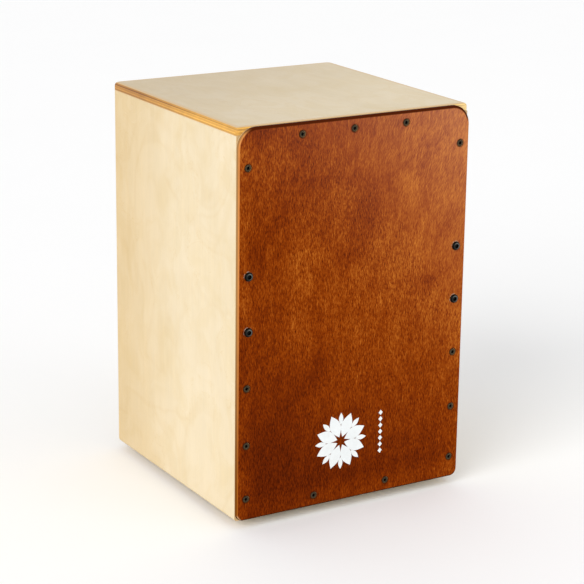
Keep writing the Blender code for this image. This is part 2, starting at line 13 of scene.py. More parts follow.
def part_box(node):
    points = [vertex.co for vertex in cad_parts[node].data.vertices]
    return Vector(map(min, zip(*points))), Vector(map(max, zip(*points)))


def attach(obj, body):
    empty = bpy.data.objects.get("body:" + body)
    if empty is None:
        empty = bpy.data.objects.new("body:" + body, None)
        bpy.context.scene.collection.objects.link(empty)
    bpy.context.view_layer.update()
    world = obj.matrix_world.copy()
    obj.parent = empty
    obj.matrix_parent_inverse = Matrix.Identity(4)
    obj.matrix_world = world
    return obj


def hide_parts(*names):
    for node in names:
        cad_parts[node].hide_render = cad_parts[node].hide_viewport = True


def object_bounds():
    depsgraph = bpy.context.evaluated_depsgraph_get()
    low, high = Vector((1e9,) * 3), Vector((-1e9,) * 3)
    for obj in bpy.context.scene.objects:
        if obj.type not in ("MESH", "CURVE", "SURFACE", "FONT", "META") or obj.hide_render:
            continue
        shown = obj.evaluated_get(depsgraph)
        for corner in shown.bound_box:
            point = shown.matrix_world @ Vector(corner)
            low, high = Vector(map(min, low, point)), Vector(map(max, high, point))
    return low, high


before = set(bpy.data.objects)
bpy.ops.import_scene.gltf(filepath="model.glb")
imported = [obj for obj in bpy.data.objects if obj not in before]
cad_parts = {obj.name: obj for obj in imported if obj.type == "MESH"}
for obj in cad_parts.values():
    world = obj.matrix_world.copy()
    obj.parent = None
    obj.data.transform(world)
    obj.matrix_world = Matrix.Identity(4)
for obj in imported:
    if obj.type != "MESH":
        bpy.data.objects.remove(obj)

CAD_BOX = [list(corner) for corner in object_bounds()]

# Camera
CAMERA_AZIMUTH = radians(-30.95)  # 0 looks along +Y
CAMERA_ELEVATION = radians(16.49)
CAMERA_ROLL = radians(0.76)
CAMERA_DISTANCE = 2.398
CAMERA_RIGHT = 0.0078  # of the drum's middle
CAMERA_UP = -0.0150
CAMERA_LENS = 125.1

# Light
AMBIENT = 0.78
AMBIENT_COLOUR = (0.985, 0.99, 1.0, 1.0)
KEY_FROM = (-0.80, -0.38, 0.46)  # towards the key light
KEY_STRENGTH = 1.75
KEY_COLOUR = (1.0, 0.985, 0.96)
KEY_WIDTH = radians(42)  # across, as seen from the drum: a wide softbox
FILL_PLACE = (1.5, -2.3, 0.9)
FILL_TARGET = (0.0, 0.0, 0.3)
FILL_SIZE = (1.4, 1.0)
FILL_POWER = 9.0
FLOOR_RADIUS = 30.0

# Rounded edges, as in the frame
CORNER_RADIUS = 0.008  # rear upright corners
SIDE_FRONT_RADIUS = 0.0015  # front upright edges of the side panels
SEAT_EDGE_RADIUS = 0.004  # also the seat's front corners
BASE_EDGE_RADIUS = 0.004
TAPA_TOP_RADIUS = 0.023
TAPA_BOTTOM_RADIUS = 0.009
TAPA_ARRIS = 0.0025
SOUND_HOLE_RADIUS = 0.058
SOUND_HOLE_HEIGHT = 0.300
SOUND_HOLE_EASING = 0.001
EASING = 0.0004  # of every edge that is otherwise sharp
BOARD_EASING = 0.0003
FINE_EASING = 0.0002
SHARP = radians(35)  # edges with a greater angle aren't shaded smooth

# Fasteners
SCREW_HEAD_DEPTH = 0.0021
SCREW_RIM_EASING = 0.0003
SCREW_TIP_LENGTH = 0.003
COUNTERSINK_MARGIN = 0.0005  # round the head
CLEARANCE = 0.0003  # round a shank
SCREW_SHANK_RADIUS = 0.0017
SCREW_RECESS = (0.0052, 0.0018, 0.0, 0.0016)  # width, blade, top and depth
BOLT_RADIUS = 0.0025
BOLT_RIM_HEIGHT = 0.0009
BOLT_TOP = 0.42  # of the head's radius
BOLT_DOME_STEPS = 8
BOLT_STANDOFF = 0.0001  # of the head from the plate
SOCKET_ACROSS_FLATS = 0.004
SOCKET_DEPTH = 0.0016
HOLE_REACH = 0.002  # how far a hole's cutter stands out of the wood
HOLE_DEPTH = 0.006  # of a cutter, deeper than the plate is thick
COUNTERSINK_REACH = 0.006  # from a fastener to the farthest face of its hole
NUT_CHAMFER = 0.0007
THREAD_CHAMFER = 0.0014
THREAD_CLEARANCE = 0.0001
TURN_BETWEEN_SCREWS = 2.4  # radians; each screw stops at its own angle

# Pan heads, as parts of their own radius and height
PAN_HEIGHT = 0.6  # of the radius
PAN_SHANK = 0.55
PAN_TOP = 0.5
PAN_SHOULDER = 0.45
PAN_STEPS = 6
PAN_RECESS = (1.15, 0.28)
PAN_RECESS_DEPTH = 0.5

# Snares
STRANDS = 10
STRAND_SPACING = 0.003
COIL_RADIUS = 0.00072
WIRE_RADIUS = 0.00018
COIL_PITCH = 0.0015
POINTS_PER_TURN = 10
STRAND_LENGTH = 0.125
STRAND_CLEARANCE = 0.0015  # from the front plate's back
SNARE_PLATE = (0.034, 0.0012, 0.014)
SNARE_PLATE_CORNER = 0.002
SNARE_STRIP = (0.030, 0.0008, 0.005)
SNARE_STRIP_CORNER = 0.0012
SNARE_SCREW_DROP = 0.0038
SNARE_SCREW_HOLE = 0.0017
SNARE_GAP = 0.0003  # between the bar and an end plate
BEAD_RADIUS = 0.00055
BEAD_SWELL = 0.00018  # more where the solder has flowed round a wire
BEAD_END = 0.4  # of the bead's size
BEAD_SHAPE = (1.3, 2.2)  # its depth and its height, as parts of its radius
BEAD_FROM_STRIP_END = 0.0025
BEAD_SIDES = 10

# Feet
FOOT_POCKET = (0.0050, 0.0050)  # radius and depth
FOOT_TAPER = 0.001

# Ornament
ROSETTE_CENTRE = (-0.014, 0.083)
ROSETTE_RADIUS = 0.034
PETALS = 8
PETAL = (0.0050, 0.0142)  # where it starts, and its width
SMALL_PETAL = (0.0195, 0.0058)
PETAL_STEPS = 12
DOT_COLUMN = (0.0395, 0.058, 0.112)  # x, and the heights it runs between
DOTS = 7
DOT_SIZE = (0.0056, 0.0064)
INK_THICKNESS = 0.00006
INK_STANDOFF = 0.00001

JOINT_GAP = 0.00025  # how much of the frame's gap a glued board fills

SIDES = (("left", -1), ("right", 1))
X, Y, Z = range(3)

# Plywood
FACE_VENEER = 0.0007
GLUE_LINE = 0.00016
OPEN_GLUE_LINE = 0.0007
BIRCH_LIGHT = (0.754, 0.636, 0.442)
BIRCH_DARK = (0.703, 0.582, 0.383)
BIRCH_PORE = (0.500, 0.350, 0.180)
GLUE_BROWN = (0.150, 0.050, 0.015)
MOTTLE = (0.960, 0.930, 0.840)
CURL = (0.940, 0.895, 0.790)
FIGURE_LINE = (0.950, 0.905, 0.800)
RIM_TONE = (0.640, 0.415, 0.185)
SEAT_EDGE = ((0.640, 0.325, 0.058), (0.500, 0.235, 0.037))
PALE_EDGE = ((0.700, 0.490, 0.225), (0.610, 0.400, 0.175))
PALE_PLY = (0.860, 0.640, 0.330)
# The seat's edge: painted light at the front, painted shade towards the back
EDGE_FRONT_PAINTED_LIGHT = (1.26, 1.32, 1.16)
EDGE_REAR_PAINTED_SHADE = (0.66, 0.56, 0.50)
SIDE_CURL = 0.42
# How a face's tone changes over a board: direction, start, end, tint at the end. On the seat and the side
# boards it is painted shade, darker towards the back.
SEAT_PAINTED_SHADE = ((-0.6, 0.8, 0.0), -0.10, 0.22, (0.84, 0.81, 0.78))
SIDE_PAINTED_SHADE = ((0.0, 1.0, 0.0), -0.02, 0.20, (0.86, 0.77, 0.60))
EVEN_DRIFT = ((0.0, 0.0, 1.0), 0.00, 0.50, (0.97, 0.96, 0.94))

# Stain and painted light. The gradient over the plate, darkest low on the left and lightest at the upper
# right, is partly the stain and partly painted light, the front light's fall-off. It is a least-squares fit
# to the red measured in the photo, rounded.
# Its rise was changed afterwards, by comparing renders with the photo.
STAIN_AND_SHADE_LOW = 0.107  # tone at the plate's foot, and how fast it rises there and at the top
STAIN_AND_LIGHT_RISE = (0.415, 0.190)
STAIN_AND_LIGHT_SIDEWAYS = (0.029, 0.118)  # how much lighter the right edge is than the middle, at the foot and the top
STAIN_SCALE = 1.90  # from a tone to its place in STAIN_TONES
STAIN_WARP = 0.045
# Clouds of the stain, placed to follow the photo: centre (x, z), half-width and half-height,
# lean in degrees, strength
STAIN_PATCHES = (
    ((-0.128, 0.320), (0.020, 0.022), 0, -0.20),
    ((-0.096, 0.356), (0.017, 0.052), 42, -0.20),
    ((-0.058, 0.388), (0.036, 0.018), -5, -0.22),
    ((0.008, 0.335), (0.034, 0.088), 33, -0.23),
    ((0.006, 0.386), (0.052, 0.018), 4, -0.20),
    ((0.100, 0.256), (0.026, 0.016), -20, -0.26),
    ((0.128, 0.320), (0.018, 0.024), 0, -0.20),
    ((-0.010, 0.445), (0.070, 0.014), 0, -0.14),
    ((-0.055, 0.170), (0.022, 0.052), 28, -0.22),
    ((-0.095, 0.115), (0.045, 0.080), 10, -0.22),
    ((0.100, 0.160), (0.040, 0.050), 0, -0.08),
    ((-0.066, 0.290), (0.032, 0.046), 0, 0.32),
    ((-0.072, 0.220), (0.028, 0.050), 0, 0.24),
    ((0.072, 0.372), (0.032, 0.030), 0, 0.12),
    ((0.068, 0.290), (0.040, 0.032), 0, 0.24),
    ((0.045, 0.235), (0.035, 0.030), 0, 0.08),
    ((-0.146, 0.350), (0.026, 0.120), 0, 0.36),
    ((-0.115, 0.415), (0.046, 0.034), 0, 0.26),
    ((-0.150, 0.432), (0.032, 0.034), 0, 0.42),
    ((-0.150, 0.258), (0.024, 0.040), 0, 0.26),
    ((-0.150, 0.110), (0.022, 0.100), 0, 0.34),
    ((-0.152, 0.040), (0.028, 0.056), 0, 0.70),
    ((0.150, 0.180), (0.026, 0.080), 0, 0.20),
    ((0.150, 0.045), (0.028, 0.050), 0, 0.26),
    ((0.150, 0.430), (0.030, 0.036), 0, 0.18),
)
# The stain's colour by tone, from colours measured in the photo and changed by comparing renders with it
STAIN_TONES = (
    (0.00, (0.000, 0.0000, 0.0000)),
    (0.12, (0.052, 0.0060, 0.0001)),
    (0.24, (0.114, 0.0130, 0.0001)),
    (0.40, (0.192, 0.0270, 0.0002)),
    (0.56, (0.269, 0.0470, 0.0010)),
    (0.72, (0.347, 0.0810, 0.0065)),
    (0.88, (0.425, 0.1140, 0.0095)),
    (1.00, (0.480, 0.1450, 0.0150)),
)
# Painted shade round the countersinks
COUNTERSINK_SHADE = (0.030, 0.007, 0.002)
# Painted highlight round the upper left of the bolt heads
BOLT_RIM_HIGHLIGHT = (0.640, 0.520, 0.400)
# The holes' walls: stain in the end grain and painted shade
HOLE_STAIN_AND_SHADE = (0.004, 0.002, 0.001)
HOLE_FIBRE_STAIN_AND_SHADE = (0.018, 0.006, 0.002)
# The rubbed side arrises: wear with a painted highlight, darker low down as painted shade
STAIN_RUBBED_AND_LIT = (0.600, 0.235, 0.062)
STAIN_RUBBED_AND_LIT_LOW = (0.360, 0.105, 0.012)
STAIN_EDGE = (0.330, 0.165, 0.055)
STAIN_EDGE_LOW = (0.165, 0.050, 0.004)
# Painted highlight on the lower left corner's arris
STAIN_CORNER_HIGHLIGHT = (0.460, 0.260, 0.120)
STAIN_END = (0.066, 0.010, 0.001)
STAIN_BASE = (0.052, 0.016, 0.003)

# Softwood
RINGS_PER_METRE = 420.0
HEART = (0.31, -0.12)  # where the tree's middle would be, across the grain
SPRUCE_EARLY = (0.700, 0.500, 0.270)
SPRUCE_LATE = (0.480, 0.250, 0.090)
SPRUCE_END = (0.420, 0.240, 0.100)

# Metals: colour, colour where worn, roughness
ZINC = ((0.62, 0.62, 0.60), (0.78, 0.78, 0.75), 0.28)
SNARE_ZINC = ((0.62, 0.62, 0.60), (0.78, 0.78, 0.75), 0.30)
FOOT_ZINC = ((0.58, 0.58, 0.56), (0.74, 0.74, 0.71), 0.34)
WIRE_STEEL = ((0.50, 0.50, 0.49), (0.66, 0.65, 0.62), 0.24)
PLATE_STEEL = ((0.44, 0.44, 0.43), (0.60, 0.59, 0.57), 0.34)
SOLDER = ((0.56, 0.56, 0.55), (0.70, 0.69, 0.66), 0.42)
# Black oxide: colour, colour where worn (on a bolt's dome, the painted reflection's colour), roughness,
# gloss, and the band of a dome, by distance from its axis, that gets the painted reflection
OXIDE_SCREW = ((0.026, 0.019, 0.010), (0.078, 0.056, 0.030), 0.34, 0.10)
OXIDE_BOLT = ((0.0012, 0.0014, 0.0014), (0.110, 0.112, 0.098), 0.18, 0.08, (0.0025, 0.0043))
OXIDE_RECESS = (0.0015, 0.0015, 0.0015)

RUBBER = (0.018, 0.018, 0.019)
RUBBER_DUST = (0.060, 0.057, 0.053)
INK = (0.80, 0.84, 0.84)
INK_THIN = (0.60, 0.48, 0.40)
FLOOR = ((0.950, 0.950, 0.950), (0.965, 0.965, 0.965))


# Places from the frame


def middle(node):
    low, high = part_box(node)
    return (low + high) / 2


def node_names(prefix):
    return sorted(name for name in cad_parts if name.startswith(prefix))


TAPA_LOW, TAPA_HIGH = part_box("tapa")
FRONT = TAPA_LOW.y
SCREWS = node_names("tapa_screw")
BOLTS = node_names("snare_bolt")
NUTS = node_names("snare_nut")


# Shader nodes


class Signal:
    """An output of a shader node. Arithmetic with it adds the nodes that work it out."""

    def __init__(self, shader, socket):
        self.shader = shader
        self.socket = socket

    def math(self, operation, *others):
        return self.shader.node("Math", (self, *others), operation=operation)

    def vector(self, operation, *others, output=0):
        return self.shader.node("VectorMath", (self, *others), output, operation=operation)

    def __add__(self, other):
        return self.math("ADD", other)

    def __sub__(self, other):
        return self.math("SUBTRACT", other)

    def __rsub__(self, other):
        return self.shader.node("Math", (other, self), operation="SUBTRACT")

    def __mul__(self, other):
        return self.math("MULTIPLY", other)

    def __truediv__(self, other):
        return self.math("DIVIDE", other)

    def __abs__(self):
        return self.math("ABSOLUTE")

    def span(self, low, high, to_low=0.0, to_high=1.0, smooth=False):
        """The value's place between low and high, moved to between to_low and to_high and held there."""
        kind = "SMOOTHSTEP" if smooth else "LINEAR"
        return self.shader.node("MapRange", (self, low, high, to_low, to_high), interpolation_type=kind)

    def shaded(self, amount):
        """A colour made lighter or darker: 1 leaves it as it is."""
        return self.shader.node("VectorMath", (self, None, None, amount), operation="SCALE")

    def stretched(self, scale):
        return self.vector("MULTIPLY", scale)

    def turned(self, axis, angle):
        kind = axis + "_AXIS"
        return self.shader.node("VectorRotate", (self, None, None, angle), rotation_type=kind)

    def length(self):
        return self.vector("LENGTH", output=1)

    def parts(self):
        made = self.shader.tree.nodes.new("ShaderNodeSeparateXYZ")
        self.shader.put(self, made.inputs[0])
        return tuple(Signal(self.shader, output) for output in made.outputs)


class Shader:
    """A new material, with short ways to add nodes to it and wire them."""

    def __init__(self, name, **constants):
        self.material = bpy.data.materials.new(name)
        self.material.use_nodes = True
        self.tree = self.material.node_tree
        self.surface = self.tree.nodes["Principled BSDF"]
        for socket, value in constants.items():
            self.surface.inputs[socket.replace("_", " ")].default_value = value
        texture = self.tree.nodes.new("ShaderNodeTexCoord")
        self.place = Signal(self, texture.outputs["Object"])
        self.facing = Signal(self, texture.outputs["Normal"])

    def put(self, value, socket):
        """Links a signal to a socket, or sets the socket to a number, a vector or a colour."""
        if isinstance(value, Signal):
            self.tree.links.new(value.socket, socket)
        elif isinstance(value, tuple) and socket.type == "RGBA":
            socket.default_value = (*value, 1.0)
        else:
            socket.default_value = value

    def node(self, kind, values, output=0, **settings):
        """Adds a node, sets or links its inputs in order (None leaves one alone), and gives one output."""
        made = self.tree.nodes.new("ShaderNode" + kind)
        for name, value in settings.items():
            setattr(made, name, value)
        for socket, value in zip(made.inputs, values):
            if value is not None:
                self.put(value, socket)
        return Signal(self, made.outputs[output])

    def noise(self, scale, detail=2.0, roughness=0.5, distortion=0.0, stretch=None, place=None):
        """Cloudy noise over the object, or over another place signal."""
        place = place or self.place
        if stretch:
            place = place.stretched(stretch)
        made = self.tree.nodes.new("ShaderNodeTexNoise")
        self.put(place, made.inputs["Vector"])
        made.inputs["Scale"].default_value = scale
        made.inputs["Detail"].default_value = detail
        made.inputs["Roughness"].default_value = roughness
        made.inputs["Distortion"].default_value = distortion
        return Signal(self, made.outputs["Fac"])

    def mix(self, factor, a, b, blend="MIX"):
        made = self.tree.nodes.new("ShaderNodeMix")
        made.data_type = "RGBA"
        made.blend_type = blend
        for name, value in (("Factor_Float", factor), ("A_Color", a), ("B_Color", b)):
            self.put(value, next(s for s in made.inputs if s.identifier == name))
        return Signal(self, next(s for s in made.outputs if s.identifier == "Result_Color"))

    def ramp(self, factor, stops):
        made = self.tree.nodes.new("ShaderNodeValToRGB")
        band = made.color_ramp
        for number, (position, colour) in enumerate(stops):
            stop = band.elements[number] if number < 2 else band.elements.new(position)
            stop.position = position
            stop.color = (*colour, 1.0)
        self.put(factor, made.inputs[0])
        return Signal(self, made.outputs[0])

    def done(self, colour, roughness, height=None, strength=0.0, distance=0.0):
        """The finished material, with a relief of this height where one is given."""
        self.put(colour, self.surface.inputs["Base Color"])
        self.put(roughness, self.surface.inputs["Roughness"])
        if height:
            made = self.tree.nodes.new("ShaderNodeBump")
            made.inputs["Strength"].default_value = strength
            made.inputs["Distance"].default_value = distance
            self.put(height, made.inputs["Height"])
            self.put(Signal(self, made.outputs[0]), self.surface.inputs["Normal"])
        return self.material


def along(axis, size):
    """A scale for each axis: this size along the grain, 1 across it."""
    return tuple(size if number == axis else 1.0 for number in range(3))


# Materials


def plywood(name, normal, outer, inward, thickness, grain, edge, drift, plies=7, curl=0.0, seat=None):
    """Birch plywood as a solid: face veneers, crossed plies and glue lines, by depth from the outer face.

    normal and grain are axis numbers; inward is +1 or -1; edge holds an edge ply's light and dark tone.
    curl is how strong the long curled figure is. seat holds the corners of the seat board, whose top face
    is sanded warmer near its outline, and whose edge has painted shade, darker towards the back and lighter
    at the front, with one open glue line.
    """
    shader = Shader(name)
    place, facing = shader.place.parts(), shader.facing.parts()
    across = 3 - normal - grain
    inner = (thickness - 2 * FACE_VENEER) / (plies - 2)

    depth = (place[normal] - outer) * inward
    level = (depth - FACE_VENEER) / inner
    ply = level.math("FLOOR")
    crossed = (ply + 1.0).math("PINGPONG", 1.0)
    share = level - ply
    from_glue = share.math("MINIMUM", 1.0 - share) * inner
    glue = from_glue.span(GLUE_LINE, GLUE_LINE / 2) * depth.span(FACE_VENEER / 2, FACE_VENEER)

    # The veneer's figure: wide soft bands, silky clouds, fibres and short dark pores along the grain
    bands = shader.noise(26.0, 3.0, 0.55, 0.6, along(grain, 0.10))
    clouds = shader.noise(13.0, 3.0, 0.5, 0.5, along(grain, 0.65))
    fibre = shader.noise(900.0, 2.0, 0.6, 0.0, along(grain, 0.05))
    streaks = shader.noise(210.0, 3.0, 0.6, 0.0, along(grain, 0.04))
    pores = shader.noise(1300.0, 1.0, 0.5, 0.0, along(grain, 0.12))
    mottle = shader.noise(24.0, 4.0, 0.6, 0.9, along(grain, 0.8))
    face = shader.mix((bands * 0.35 + clouds * 0.65).span(0.34, 0.66), BIRCH_DARK, BIRCH_LIGHT)
    face = face.shaded(streaks.span(0.30, 0.70, 0.98, 1.015))
    face = face.shaded(fibre.span(0.30, 0.70, 0.975, 1.02))
    face = shader.mix(pores.span(0.68, 0.78, 0.0, 0.22), face, BIRCH_PORE)
    face = shader.mix(mottle.span(0.40, 0.66, 0.0, 0.95), face, MOTTLE, "MULTIPLY")
    line = abs(mottle - 0.52).span(0.010, 0.002) * clouds.span(0.46, 0.60, 0.0, 0.7)
    face = shader.mix(line, face, FIGURE_LINE, "MULTIPLY")
    if curl:
        swirl = shader.noise(7.0, 3.0, 0.5, 1.2, along(grain, 0.8))
        contour = abs(swirl - 0.5).span(0.045, 0.0, 0.0, curl, smooth=True)
        face = shader.mix(contour, face, CURL, "MULTIPLY")
    # The tint over the board: painted shade on the seat and the side boards, darker towards the back
    direction, start, end, tint = drift
    reach = shader.place.vector("DOT_PRODUCT", direction, output=1)
    face = shader.mix((reach + bands * 0.06).span(start, end, smooth=True), face, tint, "MULTIPLY")

    # Edges: long fibres where a ply runs along the edge, open end grain where it runs into it
    end_on = shader.mix(crossed, abs(facing[grain]), abs(facing[across])).span(0.2, 0.8)
    tone = shader.node("TexWhiteNoise", (None, ply), noise_dimensions="1D")
    edge_colour = shader.mix(end_on, *edge)
    edge_colour = edge_colour.shaded(tone.span(0.0, 1.0, 0.90, 1.08))
    edge_colour = edge_colour.shaded(shader.noise(1500.0, 2.0, 0.6).span(0.3, 0.7, 0.90, 1.08))
    edge_colour = edge_colour.shaded(shader.noise(60.0, 3.0, 0.6).span(0.3, 0.7, 0.88, 1.10))
    if seat:
        low, high = seat
        from_x = (high.x - low.x) / 2 - abs(place[X] - (low.x + high.x) / 2)
        from_y = (high.y - low.y) / 2 - abs(place[Y] - (low.y + high.y) / 2)
        from_rim = from_x.math("MINIMUM", from_y) + mottle * 0.006
        face = shader.mix(from_rim.span(0.0125, 0.0055, 0.0, 0.75, smooth=True), face, RIM_TONE)
        right_corner = place[X].span(0.112, 0.146)
        edge_colour = shader.mix(right_corner * 0.7, edge_colour, PALE_PLY)
        glue = glue * right_corner.span(0.0, 1.0, 1.0, 2.0)
    edge_colour = shader.mix(glue * 0.40, edge_colour, GLUE_BROWN)
    if seat:
        # One glue line has opened in places and taken up dark lacquer
        towards_back = place[Y] + shader.noise(1.0, 1.0, stretch=(9.0, 9.0, 0.0)) * 0.30
        line = abs(depth - (FACE_VENEER + inner)).span(OPEN_GLUE_LINE, 0.4 * OPEN_GLUE_LINE)
        line = line * towards_back.span(0.02, 0.24, 0.35, 1.0)
        # Painted light and shade: the edge is lighter at the front and darker towards the back
        tint = shader.mix(towards_back.span(0.02, 0.32), EDGE_FRONT_PAINTED_LIGHT, EDGE_REAR_PAINTED_SHADE)
        edge_colour = shader.mix(1.0, edge_colour, tint, "MULTIPLY")
        edge_colour = shader.mix(line * 0.90, edge_colour, GLUE_BROWN)

    nearest = depth.math("MINIMUM", thickness - depth)
    on_edge = nearest.span(0.55 * FACE_VENEER, FACE_VENEER)
    on_edge = on_edge.math("MAXIMUM", abs(facing[normal]).span(0.55, 0.35) * 0.5)
    roughness = (fibre + on_edge * 0.4).span(0.3, 1.1, 0.36, 0.56)
    relief = fibre * 0.6 + streaks * 0.4 - glue * 0.8
    return shader.done(shader.mix(on_edge, face, edge_colour), roughness, relief, 0.12, 0.0003)


def soft_patch(place, centre, size, lean):
    """1 in the middle of an upright ellipse on the front plate, falling softly to 0 at its rim."""
    offset = place.vector("SUBTRACT", (centre[0], 0.0, centre[1]))
    scaled = offset.turned("Y", radians(-lean)).stretched((1 / size[0], 0.0, 1 / size[1]))
    return scaled.length().span(1.0, 0.1, smooth=True)


def stain_and_painted_light_tone(shader):
    """How light the stain is, with painted light in its gradient: darkest low on the left, lightest at the
    upper right; and the flecks and streaks that are in it.
    """
    low, high = TAPA_LOW, TAPA_HIGH
    x, y, z = shader.place.parts()
    up = z.span(low.z, high.z)
    sideways = x.span(low.x, high.x, -1.0, 1.0)
    # Partly the stain, partly painted light: lighter upwards and towards the right edge
    tone = up * up.span(0.0, 1.0, *STAIN_AND_LIGHT_RISE) + STAIN_AND_SHADE_LOW
    tone = tone + sideways * up.span(0.0, 1.0, *STAIN_AND_LIGHT_SIDEWAYS)
    # Painted light: the tone is lifted along the plate's foot, against the shade near the floor
    tone = tone * z.span(low.z + 0.004, low.z + 0.034, 1.65, 1.0, smooth=True)

    warp = shader.node("TexNoise", (shader.place, None, 16.0, 3.0, 0.55), output=1)
    warp = warp.vector("SUBTRACT", (0.5, 0.5, 0.5))
    warped = warp.vector("MULTIPLY_ADD", (STAIN_WARP, 0.0, STAIN_WARP), shader.place)
    for centre, size, lean, strength in STAIN_PATCHES:
        tone = tone * soft_patch(warped, centre, size, lean).span(0.0, 1.0, 1.0, 1.0 + strength)

    blotch = shader.noise(34.0, 4.0, 0.6, 0.6, along(Z, 0.6), warped)
    grey = shader.noise(95.0, 3.0, 0.6, 0.5, along(Z, 0.5))
    slanted = shader.place.turned("Y", radians(50))
    bands = shader.noise(60.0, 3.0, 0.5, 0.8, along(X, 0.28), slanted)
    tone = tone * blotch.span(0.30, 0.70, 0.92, 1.08) * grey.span(0.30, 0.70, 0.87, 1.13)
    tone = tone * (1.0 - bands.span(0.46, 0.34, 0.0, 0.14) * up)

    # Fibres stand upright low on the plate and lean over towards its upper right
    upright = shader.noise(1500.0, 2.0, 0.7, 0.0, along(Z, 0.16))
    leaning = shader.noise(1500.0, 2.0, 0.7, 0.0, along(Z, 0.12), shader.place.turned("Y", radians(-22)))
    over = (x * 1.1 + z + blotch * 0.12).span(0.42, 0.56)
    fleck = upright * (1.0 - over) + leaning * over
    streak = shader.noise(170.0, 3.0, 0.6, 0.0, along(Z, 0.06))
    # Longer fibres wander a little to each side
    wander = shader.noise(14.0, 1.0, stretch=along(Z, 0.8))
    wandering = shader.node("CombineXYZ", (x + wander * 0.030, y, z))
    strand = shader.noise(430.0, 2.0, 0.6, 0.0, along(Z, 0.09), wandering)
    long_line = shader.noise(620.0, 1.0, 0.5, 0.0, along(Z, 0.045), wandering)
    tone = tone * streak.span(0.30, 0.70, 0.94, 1.06) * strand.span(0.30, 0.70, 0.94, 1.06)
    darkest = over.span(0.0, 1.0, 0.20, 0.52)
    lightest = over.span(0.0, 1.0, 1.80, 1.48)
    tone = tone * fleck.span(0.26, 0.74, darkest, lightest) * long_line.span(0.62, 0.74, 1.0, 1.26)
    return tone, fleck, streak


def from_nearest(shader, nodes, aside=(0.0, 0.0)):
    """The distance over the plate from the nearest of these fasteners' axes, moved aside by (x, z)."""
    nearest = None
    for node in nodes:
        centre = middle(node)
        offset = shader.place.vector("SUBTRACT", (centre.x + aside[0], 0.0, centre.z + aside[1]))
        distance = offset.stretched((1.0, 0.0, 1.0)).length()
        nearest = nearest.math("MINIMUM", distance) if nearest else distance
    return nearest


def worn_and_lit_arris(shader, colour):
    """The plate's stain with its rounded edges: sides rubbed lighter, with a painted highlight on the left
    and painted shade low down; end grain dark at top and bottom; a painted highlight on the lower left
    corner.
    """
    x, y, z = shader.place.parts()
    facing = shader.facing.parts()
    sideways_on = abs(facing[X])
    height = z - TAPA_LOW.z
    # Painted shade: the rubbed sides and the side faces are darker low on the plate, as its face is
    painted_light_above = height.span(0.04, 0.26)
    rubbing = shader.noise(60.0, 3.0, 0.6, 0.0, along(Z, 0.5))
    # Rubbed lighter, more on the left, which faces the key light: wear with a painted highlight
    rubbed = rubbing.span(0.30, 0.60, 0.70, 1.0) * facing[X].span(-0.05, 0.05, 1.0, 0.25)
    rubbed_and_lit_tone = shader.mix(painted_light_above, STAIN_RUBBED_AND_LIT_LOW, STAIN_RUBBED_AND_LIT)
    colour = shader.mix(sideways_on.span(0.10, 0.35) * rubbed, colour, rubbed_and_lit_tone)
    outward = shader.node("CombineXYZ", (facing[X], 0.0, facing[Z])).length()
    edge_from = height.span(0.06, 0.24, 0.55, 0.72)
    edge = shader.mix(painted_light_above, STAIN_EDGE_LOW, STAIN_EDGE)
    colour = shader.mix(outward.span(edge_from, edge_from + 0.12), colour, edge)

    # The dark end grain of the top reaches farther down the right corner than the left one; the left corner,
    # which faces the key light, is left lighter as a painted highlight
    past_x = (abs(x) - (TAPA_HIGH.x - TAPA_TOP_RADIUS)).math("MAXIMUM", 0.0)
    past_z = (z - (TAPA_HIGH.z - TAPA_TOP_RADIUS)).math("MAXIMUM", 0.0)
    reach = shader.node("CombineXYZ", (past_x, 0.0, past_z)).length()
    dark_from = x.span(-0.01, 0.01, 0.72, 0.15)
    at_top = (past_z / reach).span(dark_from, dark_from + 0.25)
    near_outline = reach.span(TAPA_TOP_RADIUS - 0.0034, TAPA_TOP_RADIUS - 0.0024)
    colour = shader.mix(at_top * near_outline, colour, STAIN_END)
    colour = shader.mix(facing[Z].span(-0.15, -0.40), colour, STAIN_BASE)
    # Painted highlight: a pale line on the lower left corner's arris, where the key light would catch it
    corner = facing[X].span(-0.12, -0.24) * facing[Z].span(-0.06, -0.16) * facing[Y].span(-0.62, -0.74)
    colour = shader.mix(corner * 0.9, colour, STAIN_CORNER_HIGHLIGHT)
    behind = y.span(TAPA_HIGH.y - 0.0006, TAPA_HIGH.y)
    return shader.mix(behind, colour, BIRCH_DARK)


